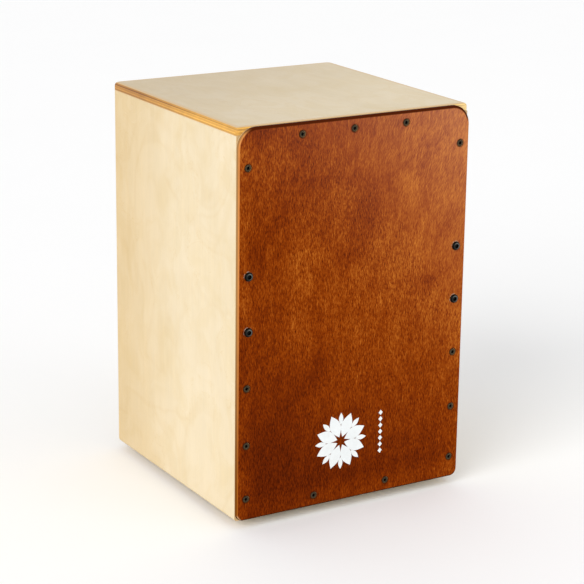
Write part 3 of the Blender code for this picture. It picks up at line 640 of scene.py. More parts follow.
def stained_birch():
    """The front plate: reddish-brown stain, clouded and flecked, under a lacquer, with a painted sheen
    towards its upper right.
    """
    shader = Shader("stained_birch_veneer", IOR=1.45, Specular_IOR_Level=0.018)
    x, _, z = shader.place.parts()
    tone, fleck, streak = stain_and_painted_light_tone(shader)
    colour = shader.ramp(tone * STAIN_SCALE, STAIN_TONES)
    # Painted sheen: a pale veil added towards the upper right, where the lacquer would reflect the room
    painted_sheen = (x * 0.8 + z).span(0.20, 0.55).math("POWER", 2.5)
    colour = shader.mix(painted_sheen * 0.046, colour, (1.0, 1.0, 1.0), "ADD")

    # Painted shade round the countersinks, and a painted highlight on the stain round the upper left of the
    # bolt heads
    ragged = shader.noise(260.0, 2.0, 0.6)
    countersink_shade = (from_nearest(shader, SCREWS) + ragged * 0.0012).span(0.0062, 0.0050)
    colour = shader.mix(countersink_shade * 0.75, colour, COUNTERSINK_SHADE)
    from_bolt = from_nearest(shader, BOLTS)
    ring = from_bolt.span(0.0051, 0.0053) * from_bolt.span(0.0061, 0.0054)
    # Painted highlight: a pale broken arc round the upper left of each bolt head
    towards_upper_left = (from_nearest(shader, BOLTS, (0.001, -0.001)) - from_bolt).span(0.0002, 0.0011)
    rim_highlight = ragged.span(0.42, 0.56) * towards_upper_left.span(0.0, 1.0, 0.10, 0.80)
    colour = shader.mix(ring * rim_highlight, colour, BOLT_RIM_HIGHLIGHT)

    colour = worn_and_lit_arris(shader, colour)
    return shader.done(colour, fleck.span(0.3, 0.7, 0.34, 0.46), fleck * 0.6 + streak * 0.4, 0.16, 0.0003)


def bored_wood():
    """The walls of the front plate's holes, near black: stain run into the end grain, and painted shade in
    the narrow gap round each fastener.
    """
    shader = Shader("bored_stained_wood", Specular_IOR_Level=0.1)
    pores = shader.noise(1800.0, 3.0, 0.6)
    colour = shader.mix(pores.span(0.35, 0.65), HOLE_STAIN_AND_SHADE, HOLE_FIBRE_STAIN_AND_SHADE)
    return shader.done(colour, 0.8, pores, 0.3, 0.0002)


def softwood(name, grain):
    """Planed spruce as a solid: growth rings round a distant heart, drawn out along the grain."""
    shader = Shader(name, IOR=1.4)
    wander = shader.noise(22.0, 2.0, 0.5, 0.0, along(grain, 0.06))
    place = shader.place.parts()
    first, second = [place[axis] - heart for axis, heart in zip({X, Y, Z} - {grain}, HEART)]
    radius = (first * first + second * second).math("SQRT") + wander * 0.006
    ring = (radius * RINGS_PER_METRE).math("FRACT")
    late = ring.span(0.55, 0.92) * ring.span(1.0, 0.94)
    fibre = shader.noise(1100.0, 2.0, 0.6, 0.0, along(grain, 0.05))
    cloud = shader.noise(35.0, 2.0)
    colour = shader.mix(late * 0.75, SPRUCE_EARLY, SPRUCE_LATE)
    colour = colour.shaded(fibre.span(0.3, 0.7, 0.92, 1.06))
    colour = colour.shaded(cloud.span(0.3, 0.7, 0.92, 1.06))
    ends = abs(shader.facing.parts()[grain])
    colour = shader.mix(ends.span(0.5, 0.9, 0.0, 0.45), colour, SPRUCE_END)
    return shader.done(colour, late.span(0.0, 1.0, 0.68, 0.52), fibre * 0.5 + late, 0.2, 0.0002)


def black_oxide(name, colour, worn, roughness, gloss, sheen_band=None):
    """Black-oxide steel, blackest in the recess. A dome gets a painted reflection, lighter towards its upper
    right, between two distances from its axis.
    """
    shader = Shader(name, Metallic=0.25, Specular_IOR_Level=gloss)
    clouds = shader.noise(500.0, 3.0, 0.6)
    specks = shader.noise(2600.0, 2.0, 0.6)
    rubbed = (clouds + specks * 0.3).span(0.45, 0.85)
    recess = shader.place.parts()[Y].span(FRONT + 0.00008, FRONT + 0.0003)
    if sheen_band:
        inner, outer = sheen_band
        from_axis = from_nearest(shader, BOLTS)
        ring = from_axis.span(inner, inner + 0.0002) * from_axis.span(outer, outer - 0.0008)
        # Painted reflection: the dome's ring is lighter towards its upper right, where it would reflect the
        # room
        towards_upper_right = from_nearest(shader, BOLTS, (-0.001, -0.0005)) - from_axis
        painted_reflection = rubbed.span(0.0, 1.0, 0.8, 1.0) * towards_upper_right.span(-0.0008, 0.0009, 0.15, 1.0)
        rubbed = ring * painted_reflection
        recess = recess.math("MAXIMUM", from_axis.span(inner, inner - 0.0002))
    final = shader.mix(recess, shader.mix(rubbed, colour, worn), OXIDE_RECESS)
    rough = (clouds + specks).span(0.7, 1.3, roughness - 0.05, roughness + 0.10)
    return shader.done(final, rough, specks, 0.10, 0.0001)


def metal(name, colour, worn, roughness):
    """Steel with a thin finish: cloudy, finely scratched, a little brighter where handling has rubbed it."""
    shader = Shader(name, Metallic=1.0)
    clouds = shader.noise(420.0, 3.0, 0.6)
    specks = shader.noise(2600.0, 2.0, 0.6)
    scratches = shader.noise(3200.0, stretch=along(Z, 0.05), place=shader.place.turned("Y", 0.6))
    rubbed = clouds.span(0.42, 0.68) + scratches.span(0.62, 0.72, 0.0, 0.35)
    rough = (clouds + specks).span(0.7, 1.3, roughness - 0.06, roughness + 0.12)
    return shader.done(shader.mix(rubbed, colour, worn), rough, specks, 0.10, 0.0001)


def rubber():
    shader = Shader("moulded_rubber", Specular_IOR_Level=0.3)
    specks = shader.noise(2200.0, 3.0, 0.6)
    dust = shader.noise(160.0, 4.0, 0.6)
    colour = shader.mix(dust.span(0.45, 0.75, 0.0, 0.5), RUBBER, RUBBER_DUST)
    return shader.done(colour, specks.span(0.3, 0.7, 0.72, 0.90), specks, 0.25, 0.0002)


def print_ink():
    """White screen-print ink, thin enough that the grain underneath breaks it up a little."""
    shader = Shader("white_print_ink")
    grain = shader.noise(700.0, 2.0, 0.6, 0.0, along(Z, 0.12))
    cloud = shader.noise(90.0, 2.0)
    colour = shader.mix(grain.span(0.66, 0.80, 0.0, 0.35), INK, INK_THIN)
    colour = colour.shaded(cloud.span(0.3, 0.7, 0.96, 1.02))
    return shader.done(colour, grain.span(0.3, 0.7, 0.42, 0.56), grain, 0.12, 0.0002)


def floor_paint():
    shader = Shader("floor_paint", Specular_IOR_Level=0.1)
    return shader.done(shader.mix(shader.noise(3.0, 2.0), *FLOOR), 0.85)


# Mesh tools


def mesh_from(name, bm, smooth=True):
    mesh = bpy.data.meshes.new(name)
    bm.to_mesh(mesh)
    bm.free()
    if smooth:
        mesh.shade_smooth()
        mesh.set_sharp_from_angle(angle=SHARP)
    return mesh


def linked(name, data):
    """A new object in the scene."""
    obj = bpy.data.objects.new(name, data)
    bpy.context.scene.collection.objects.link(obj)
    return obj


def round_edges(bm, chosen, radius, segments):
    """Rounds the edges that the test accepts, given their middle and direction."""
    edges = []
    for edge in bm.edges:
        start, end = (v.co for v in edge.verts)
        if chosen((start + end) / 2, (end - start).normalized()):
            edges.append(edge)
    bmesh.ops.bevel(bm, geom=edges, offset=radius, segments=segments, profile=0.5, affect="EDGES")


def ease_sharp_edges(bm, radius, segments=2):
    """Takes the sharpness off every edge that is still square."""
    bm.normal_update()
    sharp = [e for e in bm.edges if len(e.link_faces) == 2 and e.calc_face_angle() > radians(60)]
    bmesh.ops.bevel(bm, geom=sharp, offset=radius, segments=segments, profile=0.5, affect="EDGES")


def box_bmesh(low, high):
    bm = bmesh.new()
    bmesh.ops.create_cube(bm, size=1.0)
    size = [b - a for a, b in zip(low, high)]
    centre = [(a + b) / 2 for a, b in zip(low, high)]
    bmesh.ops.scale(bm, vec=size, verts=bm.verts)
    bmesh.ops.translate(bm, vec=centre, verts=bm.verts)
    return bm


def result_of(obj, name):
    """The object's mesh with its modifiers applied. The object itself is removed."""
    bpy.context.view_layer.update()
    graph = bpy.context.evaluated_depsgraph_get()
    mesh = bpy.data.meshes.new_from_object(obj.evaluated_get(graph))
    mesh.name = name
    mesh.shade_smooth()
    mesh.set_sharp_from_angle(angle=SHARP)
    bpy.data.objects.remove(obj, do_unlink=True)
    return mesh


def combined(mesh, tools, operation="DIFFERENCE"):
    """A mesh cut by, or joined with, other meshes."""
    for tool in tools:
        target = linked("target", mesh)
        other = linked("tool", tool)
        modifier = target.modifiers.new("boolean", "BOOLEAN")
        modifier.operation = operation
        modifier.solver = "EXACT"
        modifier.object = other
        mesh = result_of(target, mesh.name)
        bpy.data.objects.remove(other, do_unlink=True)
    return mesh


def turned_mesh(name, profile, steps=64):
    """Turns a profile of (radius, height) points, listed from the top down, about the Z axis."""
    bm = bmesh.new()
    points = [bm.verts.new((radius, 0.0, height)) for radius, height in profile]
    for upper, lower in zip(points, points[1:]):
        bm.edges.new((upper, lower))
    guide = linked(name, mesh_from(name, bm, smooth=False))
    screw = guide.modifiers.new("turn", "SCREW")
    screw.axis = "Z"
    screw.steps = screw.render_steps = steps
    screw.use_merge_vertices = True
    screw.merge_threshold = 1e-6
    return result_of(guide, name)


def arc(centre, radius, start, end, steps):
    """Profile points on an arc, its angles in degrees from straight out (0) to straight up (90)."""
    points = []
    for step in range(steps + 1):
        angle = radians(start + (end - start) * step / steps)
        points.append((centre[0] + radius * cos(angle), centre[1] + radius * sin(angle)))
    return points


def moved(mesh, matrix):
    copy = mesh.copy()
    copy.transform(matrix)
    return copy


def piece(name, mesh, materials, slot, *nodes):
    """A finished piece of the drum: it rides on the root body and stands for these CAD nodes."""
    obj = linked(name, mesh)
    mesh.materials.clear()
    for material in materials:
        mesh.materials.append(material)
    even = obj.modifiers.new("even_shading", "WEIGHTED_NORMAL")
    even.keep_sharp = True
    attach(obj, "root")
    if nodes:
        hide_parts(*nodes)


# Cabinet


def upright(end):
    """A test for upright edges at the front (end -1) or the back (end +1)."""
    return lambda spot, direction: abs(direction.z) > 0.99 and spot.y * end > 0


def build_side_panels():
    for name, side in SIDES:
        low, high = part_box(name + "_side_panel")
        high = high + Vector((0, 0, JOINT_GAP))
        bm = box_bmesh(low, high)
        outer = side * max(abs(low.x), abs(high.x))
        inner = min(abs(low.x), abs(high.x))

        def outside(spot):
            return abs(spot.x) > inner + 0.0001

        def outer_upright(end):
            return lambda spot, direction: upright(end)(spot, direction) and outside(spot)

        def outer_base(spot, direction):
            at_foot = spot.z < low.z + EASING and abs(direction.z) < 0.01
            behind_front = spot.y > low.y + EASING
            return at_foot and behind_front and outside(spot)

        round_edges(bm, outer_upright(1), CORNER_RADIUS, 12)
        round_edges(bm, outer_base, BASE_EDGE_RADIUS, 3)
        round_edges(bm, outer_upright(-1), SIDE_FRONT_RADIUS, 3)
        ease_sharp_edges(bm, FINE_EASING, 1)
        thickness = high.x - low.x
        looks = (X, outer, -side, thickness, Z, PALE_EDGE, SIDE_PAINTED_SHADE)
        wood = plywood(name + "_side_plywood", *looks, curl=SIDE_CURL)
        mesh = mesh_from(name + "_side", bm)
        piece(name + "_side_board", mesh, [wood], "birch_plywood", name + "_side_panel")


def build_top_panel():
    low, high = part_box("top_panel")
    bm = box_bmesh(low, high)

    def seat_edge(spot, direction):
        outline = (spot.x - low.x, high.x - spot.x, spot.y - low.y, high.y - spot.y)
        on_top = spot.z > high.z - 0.0001 and min(outline) < CORNER_RADIUS and abs(direction.z) < 0.01
        return on_top or upright(-1)(spot, direction)

    round_edges(bm, upright(1), CORNER_RADIUS, 12)
    round_edges(bm, seat_edge, SEAT_EDGE_RADIUS, 8)
    ease_sharp_edges(bm, BOARD_EASING)
    looks = (Z, high.z, -1, high.z - low.z, Y, SEAT_EDGE, SEAT_PAINTED_SHADE)
    wood = plywood("seat_plywood", *looks, seat=(low, high))
    piece("seat_board", mesh_from("seat_board", bm), [wood], "birch_plywood", "top_panel")


def build_bottom_panel():
    low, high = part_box("bottom_panel")
    grow = Vector((JOINT_GAP, 0, 0))
    bm = box_bmesh(low - grow, high + grow)
    ease_sharp_edges(bm, BOARD_EASING)
    wood = plywood("base_plywood", Z, low.z, 1, high.z - low.z, X, PALE_EDGE, EVEN_DRIFT)
    piece("base_board", mesh_from("base_board", bm), [wood], "birch_plywood", "bottom_panel")


def build_rear_panel():
    low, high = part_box("rear_panel")
    grow = Vector((JOINT_GAP, 0, JOINT_GAP))
    bm = box_bmesh(low - grow, high + grow)
    ease_sharp_edges(bm, BOARD_EASING)
    half = (high.y - low.y) / 2
    easing = SOUND_HOLE_EASING
    outer = SOUND_HOLE_RADIUS + easing
    above = arc((outer, half - easing), easing, 90, 180, 6)
    below = arc((outer, easing - half), easing, 180, 270, 6)
    profile = [(0.0, 2 * half), (outer, 2 * half), *above, *below, (outer, -2 * half), (0.0, -2 * half)]
    cutter = turned_mesh("sound_hole", profile, 128)
    centre = Matrix.Translation((0.0, low.y + half, SOUND_HOLE_HEIGHT))
    cutter.transform(centre @ Matrix.Rotation(pi / 2, 4, "X"))
    mesh = combined(mesh_from("rear_board", bm), [cutter])
    wood = plywood("rear_plywood", Y, high.y, -1, 2 * half, Z, PALE_EDGE, EVEN_DRIFT, plies=5)
    piece("rear_board", mesh, [wood], "birch_plywood", "rear_panel")


def build_tapa():
    low, high = TAPA_LOW, TAPA_HIGH + Vector((0, JOINT_GAP, 0))
    bm = box_bmesh(low, high)
    centre = (low + high) / 2

    def corner(sign):
        return lambda spot, direction: abs(direction.y) > 0.99 and (spot.z - centre.z) * sign > 0

    def front_edge(spot, direction):
        return spot.y < low.y + 0.0001 and abs(direction.y) < 0.01

    round_edges(bm, corner(1), TAPA_TOP_RADIUS, 24)
    round_edges(bm, corner(-1), TAPA_BOTTOM_RADIUS, 16)
    round_edges(bm, front_edge, TAPA_ARRIS, 8)
    screw_hole = countersunk_hole()
    bolt_hole = cylinder_hole(BOLT_RADIUS + CLEARANCE)
    holes = [moved(screw_hole, fastener_place(node, 0)) for node in SCREWS]
    holes += [moved(bolt_hole, fastener_place(node, 0)) for node in BOLTS]
    mesh = combined(mesh_from("tapa_plate", bm), holes)
    axes = [middle(node) for node in SCREWS + BOLTS]
    for face in mesh.polygons:
        spot = face.center
        distance = min(((spot.x - axis.x) ** 2 + (spot.z - axis.z) ** 2) ** 0.5 for axis in axes)
        if distance < COUNTERSINK_REACH and abs(face.normal.y) < 0.95:
            face.material_index = 1
    piece("tapa_plate", mesh, [stained_birch(), bored_wood()], "stained_birch", "tapa")


# Fasteners, each with its head's bearing level at height 0 and its head towards +Z


OUTWARD_FRONT = Matrix.Rotation(pi / 2, 4, "X")  # turns a fastener's +Z towards -Y
OUTWARD_DOWN = Matrix.Rotation(pi, 4, "X")


def screw_turn(number):
    return Matrix.Rotation(number * TURN_BETWEEN_SCREWS, 4, "Z")


def fastener_place(node, number):
    """The point where the fastener's axis meets the front plate's face, turned to its own angle."""
    centre = middle(node)
    return Matrix.Translation((centre.x, FRONT, centre.z)) @ OUTWARD_FRONT @ screw_turn(number)


def cross_recess(width, blade, top, depth):
    """The cutter of a cross-head recess: two blades that narrow towards the bottom, and a round middle."""
    blades = []
    for size in ((width, blade), (blade, width)):
        bm = bmesh.new()
        bmesh.ops.create_cube(bm, size=1.0)
        bmesh.ops.scale(bm, vec=(*size, 2 * depth), verts=bm.verts)
        for vert in bm.verts:
            if vert.co.z < 0:
                vert.co.x *= 0.45 if size[0] > blade else 0.8
                vert.co.y *= 0.45 if size[1] > blade else 0.8
        bmesh.ops.translate(bm, vec=(0, 0, top), verts=bm.verts)
        blades.append(mesh_from("blade", bm, smooth=False))
    wide, slim = 0.34 * width, 0.16 * width
    high, deep = top + depth, top - depth
    round_middle = ((0.0, high), (wide, high), (wide, top), (slim, deep), (0.0, deep))
    return combined(blades[0], [blades[1], turned_mesh("recess_middle", round_middle, 16)], "UNION")


def countersunk_screw():
    low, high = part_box(SCREWS[0])
    head = (high.x - low.x) / 2
    length = high.y - low.y
    easing = SCREW_RIM_EASING
    profile = [
        (0.0, -0.00004),
        (0.55 * head, -0.00002),
        *arc((head - easing, -easing), easing, 90, 0, 4),
        (head, -0.0004),
        (SCREW_SHANK_RADIUS, -SCREW_HEAD_DEPTH),
        (SCREW_SHANK_RADIUS, SCREW_TIP_LENGTH - length),
        (0.0, -length),
    ]
    return combined(turned_mesh("countersunk_screw", profile, 48), [cross_recess(*SCREW_RECESS)])


def countersunk_hole():
    low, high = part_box(SCREWS[0])
    head = (high.x - low.x) / 2 + COUNTERSINK_MARGIN
    shank = SCREW_SHANK_RADIUS + CLEARANCE
    profile = (
        (0.0, HOLE_REACH),
        (head, HOLE_REACH),
        (head, -0.0005),
        (shank, -SCREW_HEAD_DEPTH - CLEARANCE),
        (shank, -HOLE_DEPTH),
        (0.0, -HOLE_DEPTH),
    )
    return turned_mesh("countersunk_hole", profile, 48)


def cylinder_hole(radius):
    profile = ((0.0, HOLE_REACH), (radius, HOLE_REACH), (radius, -HOLE_DEPTH), (0.0, -HOLE_DEPTH))
    return turned_mesh("round_hole", profile, 40)


def button_bolt():
    low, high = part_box(BOLTS[0])
    head = (high.x - low.x) / 2
    top = FRONT - low.y
    bottom = FRONT - high.y
    flat = BOLT_TOP * head
    profile = [(0.0, top)]
    for step in range(BOLT_DOME_STEPS + 1):
        turn = step / BOLT_DOME_STEPS * pi / 2
        height = BOLT_RIM_HEIGHT + (top - BOLT_RIM_HEIGHT) * cos(turn)
        profile.append((flat + (head - flat) * sin(turn), height))
    profile += [(head, 0.0004), (head - 0.0002, BOLT_STANDOFF), (BOLT_RADIUS, BOLT_STANDOFF)]
    profile += [(BOLT_RADIUS, bottom + 0.0005), (BOLT_RADIUS - 0.0005, bottom), (0.0, bottom)]
    socket = hexagon("socket", SOCKET_ACROSS_FLATS, top - SOCKET_DEPTH, top + SOCKET_DEPTH)
    return combined(turned_mesh("button_bolt", profile, 56), [socket])


def hexagon(name, across_flats, low, high):
    bm = bmesh.new()
    place = Matrix.Translation((0, 0, (low + high) / 2)) @ Matrix.Rotation(pi / 6, 4, "Z")
    radius = across_flats / 2 / cos(pi / 6)
    size = {"segments": 6, "radius1": radius, "radius2": radius, "depth": high - low}
    bmesh.ops.create_cone(bm, cap_ends=True, matrix=place, **size)
    return mesh_from(name, bm)


def hexagon_nut():
    """A nut with its corners turned off and a countersunk thread, from height 0 upwards."""
    low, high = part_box(NUTS[0])
    height = high.y - low.y
    flats = high.x - low.x
    wide, slim = 1.17 * flats / 2, 0.97 * flats / 2
    shoulders = ((wide, height - NUT_CHAMFER), (wide, NUT_CHAMFER))
    cone = turned_mesh("nut_cone", ((0.0, height), (slim, height), *shoulders, (slim, 0.0), (0.0, 0.0)), 60)
    bore = BOLT_RADIUS + THREAD_CLEARANCE
    mouth = bore + THREAD_CHAMFER
    top = height + 0.001
    thread = ((mouth, top), (bore, height - 0.0004), (bore, 0.0004), (mouth, -0.001))
    hole = turned_mesh("nut_bore", ((0.0, top), *thread, (0.0, -0.001)), 40)
    return combined(combined(hexagon("hexagon_nut", flats, 0.0, height), [cone], "INTERSECT"), [hole])


def pan_screw(name, head, length):
    """A pan-head screw with this head radius and this length over all."""
    height = PAN_HEIGHT * head
    shank = PAN_SHANK * head
    profile = [(0.0, height)]
    for step in range(1, PAN_STEPS + 1):
        turn = step / PAN_STEPS * pi / 2
        radius = head * (PAN_TOP + (1 - PAN_TOP) * sin(turn))
        profile.append((radius, height * (PAN_SHOULDER + (1 - PAN_SHOULDER) * cos(turn))))
    profile += [(head, 0.0), (shank, 0.0), (shank, height - length + 2 * shank), (0.0, height - length)]
    width, blade = (part * head for part in PAN_RECESS)
    recess = cross_recess(width, blade, height, PAN_RECESS_DEPTH * height)
    return combined(turned_mesh(name, profile, 40), [recess])


def build_tapa_fasteners():
    screw, bolt = countersunk_screw(), button_bolt()
    black = black_oxide("black_oxide_screw", *OXIDE_SCREW)
    deep_black = black_oxide("black_oxide_bolt", *OXIDE_BOLT)
    for nodes, mesh, finish in ((SCREWS, screw, black), (BOLTS, bolt, deep_black)):
        for number, node in enumerate(nodes):
            piece(node + "_fine", moved(mesh, fastener_place(node, number)), [finish], "black_steel", node)
    zinc = metal("zinc_plate", *ZINC)
    nut = hexagon_nut()
    for node in NUTS:
        centre = middle(node)
        spot = Matrix.Translation((centre.x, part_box(node)[1].y, centre.z))
        piece(node + "_fine", moved(nut, spot @ OUTWARD_FRONT), [zinc], "zinc_plated_steel", node)


# Inner frame


def dress_timber():
    """The battens, cleats and bar keep their CAD shape. Their edges are eased and they get the softwood."""
    woods = {axis: softwood("spruce_along_" + "xyz"[axis], axis) for axis in (X, Z)}
    for node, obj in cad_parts.items():
        if "batten" in node or "cleat" in node or node == "snare_beam":
            low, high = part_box(node)
            grain = X if high.x - low.x > high.z - low.z else Z
            for slot in obj.material_slots:
                slot.material = woods[grain]
            weld = obj.modifiers.new("weld", "WELD")
            weld.merge_threshold = 0.00005
            ease = obj.modifiers.new("ease", "BEVEL")
            ease.width = EASING
            ease.segments = 2
            ease.limit_method = "ANGLE"
            ease.angle_limit = radians(50)


# Snares


def snare_frame(name):
    """The middle of a snare's end plate on the bar's front, its X across the wires and Z along them."""
    first, second = (middle(f"snare_screw_{name}_{number}") for number in (1, 2))
    across = (second - first).normalized()
    backwards = Vector((0, 1, 0))
    up = across.cross(backwards)
    origin = (first + second) / 2 + up * SNARE_SCREW_DROP
    origin.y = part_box("snare_beam")[0].y - SNARE_GAP
    return Matrix.Translation(origin) @ Matrix((across, backwards, up)).transposed().to_4x4()


def strand_points(x, start, end):
    """A coil's wire between two (y, z) points."""
    run = ((end[0] - start[0]) ** 2 + (end[1] - start[1]) ** 2) ** 0.5
    count = int(run / COIL_PITCH * POINTS_PER_TURN)
    tilt = atan2(end[0] - start[0], end[1] - start[1])
    points = []
    for step in range(count + 1):
        angle = 2 * pi * step / POINTS_PER_TURN
        distance = run * step / count
        outward = COIL_RADIUS * sin(angle)
        y = start[0] + distance * sin(tilt) + outward * cos(tilt)
        z = start[1] + distance * cos(tilt) - outward * sin(tilt)
        points.append((x + COIL_RADIUS * cos(angle), y, z))
    return points


def strands_mesh(start, end):
    curve = bpy.data.curves.new("strands", "CURVE")
    curve.dimensions = "3D"
    curve.bevel_depth = WIRE_RADIUS
    curve.bevel_resolution = 1
    curve.use_fill_caps = True
    for number in range(STRANDS):
        x = (number - (STRANDS - 1) / 2) * STRAND_SPACING
        points = strand_points(x, start, end)
        spline = curve.splines.new("POLY")
        spline.points.add(len(points) - 1)
        for target, point in zip(spline.points, points):
            target.co = (*point, 1.0)
    return result_of(linked("strands", curve), "snare_strands")


def sheet_plate(name, low, high, corner, segments):
    """A small steel plate with rounded corners and eased edges."""
    bm = box_bmesh(low, high)
    round_edges(bm, lambda spot, direction: abs(direction.y) > 0.99, corner, segments)
    ease_sharp_edges(bm, FINE_EASING)
    return mesh_from(name, bm)


def solder_bead(y, z):
    """A low ridge of solder over the wires' ends, lumpy where it has flowed round each wire."""
    half = STRANDS * STRAND_SPACING / 2
    steps = 4 * STRANDS
    bm = bmesh.new()
    rows = []
    for step in range(steps + 1):
        x = -half + 2 * half * step / steps
        swell = BEAD_RADIUS + BEAD_SWELL * cos(2 * pi * (x / STRAND_SPACING + 0.5))
        if step in (0, steps):
            swell *= BEAD_END
        row = []
        for turn in range(BEAD_SIDES):
            angle = 2 * pi * turn / BEAD_SIDES
            deep, tall = (part * swell for part in BEAD_SHAPE)
            row.append(bm.verts.new((x, y + deep * cos(angle), z + tall * sin(angle))))
        rows.append(row)
    for first, second in zip(rows, rows[1:]):
        for turn in range(BEAD_SIDES):
            after = (turn + 1) % BEAD_SIDES
            bm.faces.new((first[turn], first[after], second[after], second[turn]))
    bm.faces.new(rows[0][::-1])
    bm.faces.new(rows[-1])
    bmesh.ops.recalc_face_normals(bm, faces=bm.faces)
    return mesh_from("solder_bead", bm)


def build_snares():
    steel = metal("snare_wire", *WIRE_STEEL)
    plate_steel = metal("snare_plate_steel", *PLATE_STEEL)
    solder = metal("solder", *SOLDER)
    width, thickness, height = SNARE_PLATE
    beam_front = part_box("snare_beam")[0].y
    start = (-thickness - COIL_RADIUS * 0.5, 0.0008)
    end = (TAPA_HIGH.y + STRAND_CLEARANCE - beam_front, STRAND_LENGTH)
    strands = strands_mesh(start, end)
    plate_low, plate_high = (-width / 2, -thickness, -height / 2), (width / 2, 0.0, height / 2)
    plate = sheet_plate("snare_plate", plate_low, plate_high, SNARE_PLATE_CORNER, 6)
    behind = end[0] + 0.0005
    strip_low = (-SNARE_STRIP[0] / 2, behind, end[1] - SNARE_STRIP[2])
    strip_high = (SNARE_STRIP[0] / 2, behind + SNARE_STRIP[1], end[1])
    strip = sheet_plate("snare_strip", strip_low, strip_high, SNARE_STRIP_CORNER, 5)

    hole = cylinder_hole(SNARE_SCREW_HOLE)
    for name, _ in SIDES:
        place = snare_frame(name)
        node = "snare_set_" + name
        holes = []
        for number in (1, 2):
            centre = place.inverted() @ middle(f"snare_screw_{name}_{number}")
            spot = Matrix.Translation((centre.x, 0.0, centre.z)) @ OUTWARD_FRONT
            holes.append(moved(hole, spot))
        drilled = combined(plate.copy(), holes)
        beads = [("plate", start), ("strip", (end[0], end[1] - BEAD_FROM_STRIP_END))]
        parts = [("plate", drilled, plate_steel), ("strip", strip, plate_steel), ("wires", strands, steel)]
        parts += [("solder_" + end_name, solder_bead(*where), solder) for end_name, where in beads]
        for part, mesh, finish in parts:
            piece(f"snare_{part}_{name}", moved(mesh, place), [finish], "snare_steel", node)

    zinc = metal("snare_screw_zinc", *SNARE_ZINC)
    screws = node_names("snare_screw")
    low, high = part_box(screws[0])
    screw = pan_screw("pan_screw", (high.z - low.z) / 2, high.y - low.y)
    for number, node in enumerate(screws):
        centre = middle(node)
        spot = Matrix.Translation((centre.x, beam_front - SNARE_GAP - thickness, centre.z)) @ OUTWARD_FRONT
        mesh = moved(screw, spot @ screw_turn(number))
        piece(node + "_fine", mesh, [zinc], "zinc_plated_steel", node)


# Feet


def build_feet():
    screws = node_names("foot_screw")
    feet = [name for name in node_names("foot_") if name not in screws]
    low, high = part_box(feet[0])
    radius = (high.x - low.x) / 2
    height = high.z - low.z
    bottom = radius - FOOT_TAPER
    pocket, depth = FOOT_POCKET
    profile = [
        (0.0, depth),
        (pocket - 0.0004, depth),
        *arc((pocket + 0.0005, 0.0006), 0.0005, 180, 270, 5),
        *arc((bottom - 0.0015, 0.0015), 0.0015, 270, 350, 7),
        *arc((radius - 0.0006, height - 0.0006), 0.0006, 0, 90, 4),
        (0.0, height),
    ]
    mesh = turned_mesh("rubber_foot", profile[::-1], 64)
    black = rubber()
    for node in feet:
        centre = middle(node)
        place = Matrix.Translation((centre.x, centre.y, low.z))
        piece(node + "_fine", moved(mesh, place), [black], "black_rubber", node)

    zinc = metal("foot_screw_zinc", *FOOT_ZINC)
    low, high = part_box(screws[0])
    head = (high.y - low.y) / 2
    screw = pan_screw("foot_pan_screw", head, high.z - low.z)
    for number, node in enumerate(screws):
        centre = middle(node)
        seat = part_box(node)[0].z + PAN_HEIGHT * head
        place = Matrix.Translation((centre.x, centre.y, seat)) @ OUTWARD_DOWN
        mesh = moved(screw, place @ screw_turn(number))
        piece(node + "_fine", mesh, [zinc], "zinc_plated_steel", node)


# Print


def petal(angle, inner, width):
    """A pointed petal's outline: two arcs between its tips."""
    points = []
    for sign, steps in ((1, range(PETAL_STEPS + 1)), (-1, range(PETAL_STEPS - 1, 0, -1))):
        for step in steps:
            share = step / PETAL_STEPS
            points.append((inner + (ROSETTE_RADIUS - inner) * share, sign * width / 2 * sin(pi * share)))
    turn = Matrix.Rotation(angle, 2)
    return [turn @ Vector(point) for point in points]


def build_print():
    """A plain ornament in white: a rosette of petals, and a column of small lozenges beside it."""
    outlines = []
    centre = Vector(ROSETTE_CENTRE)
    for number in range(PETALS):
        angle = 2 * pi * (number + 0.5) / PETALS
        outlines.append([centre + point for point in petal(angle, *PETAL)])
        outlines.append([centre + point for point in petal(angle + pi / PETALS, *SMALL_PETAL)])
    x, low, high = DOT_COLUMN
    wide, tall = (size / 2 for size in DOT_SIZE)
    lozenge = [Vector(point) for point in ((0, -tall), (wide, 0), (0, tall), (-wide, 0))]
    for number in range(DOTS):
        spot = Vector((x, low + (high - low) * (number + 0.5) / DOTS))
        outlines.append([spot + point for point in lozenge])
    bm = bmesh.new()
    for outline in outlines:
        rear = [bm.verts.new((point.x, FRONT + INK_STANDOFF, point.y)) for point in outline]
        face = bm.faces.new(rear)
        made = bmesh.ops.extrude_face_region(bm, geom=[face])["geom"]
        moved_verts = [item for item in made if isinstance(item, bmesh.types.BMVert)]
        bmesh.ops.translate(bm, vec=(0, -INK_THICKNESS, 0), verts=moved_verts)
    bmesh.ops.recalc_face_normals(bm, faces=bm.faces)
    piece("ornament_print", mesh_from("ornament_print", bm), [print_ink()], "white_print")


# Stage, light and camera


def build_floor():
    bm = bmesh.new()
    bmesh.ops.create_circle(bm, cap_ends=True, segments=96, radius=FLOOR_RADIUS)
    floor = linked("floor", mesh_from("floor", bm, smooth=False))
    floor.data.materials.append(floor_paint())


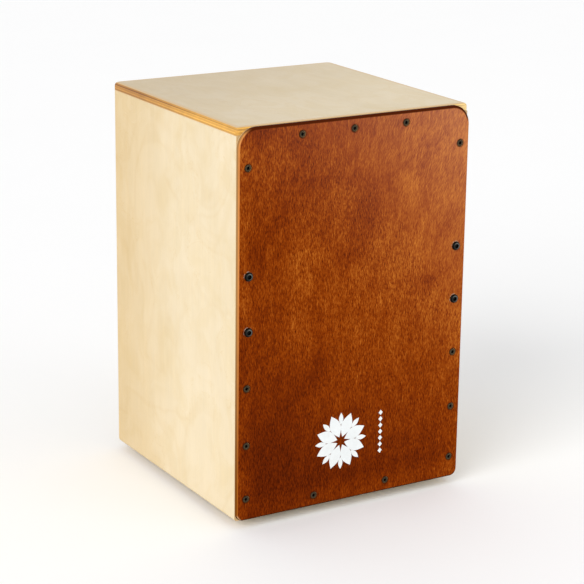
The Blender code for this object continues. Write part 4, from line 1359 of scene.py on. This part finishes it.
def turned_towards(direction):
    """The rotation of a light that shines along this direction."""
    return Vector(direction).to_track_quat("-Z", "Y").to_matrix().to_4x4()


def build_light():
    world = bpy.data.worlds.new("studio")
    world.use_nodes = True
    background = world.node_tree.nodes["Background"]
    background.inputs["Color"].default_value = AMBIENT_COLOUR
    background.inputs["Strength"].default_value = AMBIENT
    bpy.context.scene.world = world
    sun = bpy.data.lights.new("key", "SUN")
    sun.energy = KEY_STRENGTH
    sun.angle = KEY_WIDTH
    sun.color = KEY_COLOUR
    linked("key", sun).matrix_world = turned_towards(-Vector(KEY_FROM))
    panel = bpy.data.lights.new("fill", "AREA")
    panel.shape = "RECTANGLE"
    panel.size, panel.size_y = FILL_SIZE
    panel.energy = FILL_POWER
    aim = turned_towards(Vector(FILL_TARGET) - Vector(FILL_PLACE))
    linked("fill", panel).matrix_world = Matrix.Translation(FILL_PLACE) @ aim
    view = bpy.context.scene.view_settings
    view.view_transform = "Standard"
    view.look = "None"


def build_camera():
    top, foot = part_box("top_panel")[1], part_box("left_side_panel")[0]
    target = Vector((0.0, (FRONT + CAD_BOX[1][1]) / 2, (top.z + foot.z) / 2))
    turn, tilt = CAMERA_AZIMUTH, CAMERA_ELEVATION
    back = Vector((sin(turn) * cos(tilt), -cos(turn) * cos(tilt), sin(tilt)))
    level = Vector((0, 0, 1)).cross(back).normalized()
    right = Matrix.Rotation(CAMERA_ROLL, 3, back) @ level
    up = back.cross(right)
    data = bpy.data.cameras.new("camera")
    data.lens = CAMERA_LENS
    data.sensor_width = 36.0
    data.clip_end = 100.0
    camera = linked("camera", data)
    spot = target + back * CAMERA_DISTANCE + right * CAMERA_RIGHT + up * CAMERA_UP
    camera.matrix_world = Matrix.Translation(spot) @ Matrix((right, up, back)).transposed().to_4x4()
    bpy.context.scene.camera = camera


build_floor()
build_light()
build_camera()

build_side_panels()
build_top_panel()
build_bottom_panel()
build_rear_panel()
build_tapa()
build_tapa_fasteners()
dress_timber()
build_snares()
build_feet()
build_print()
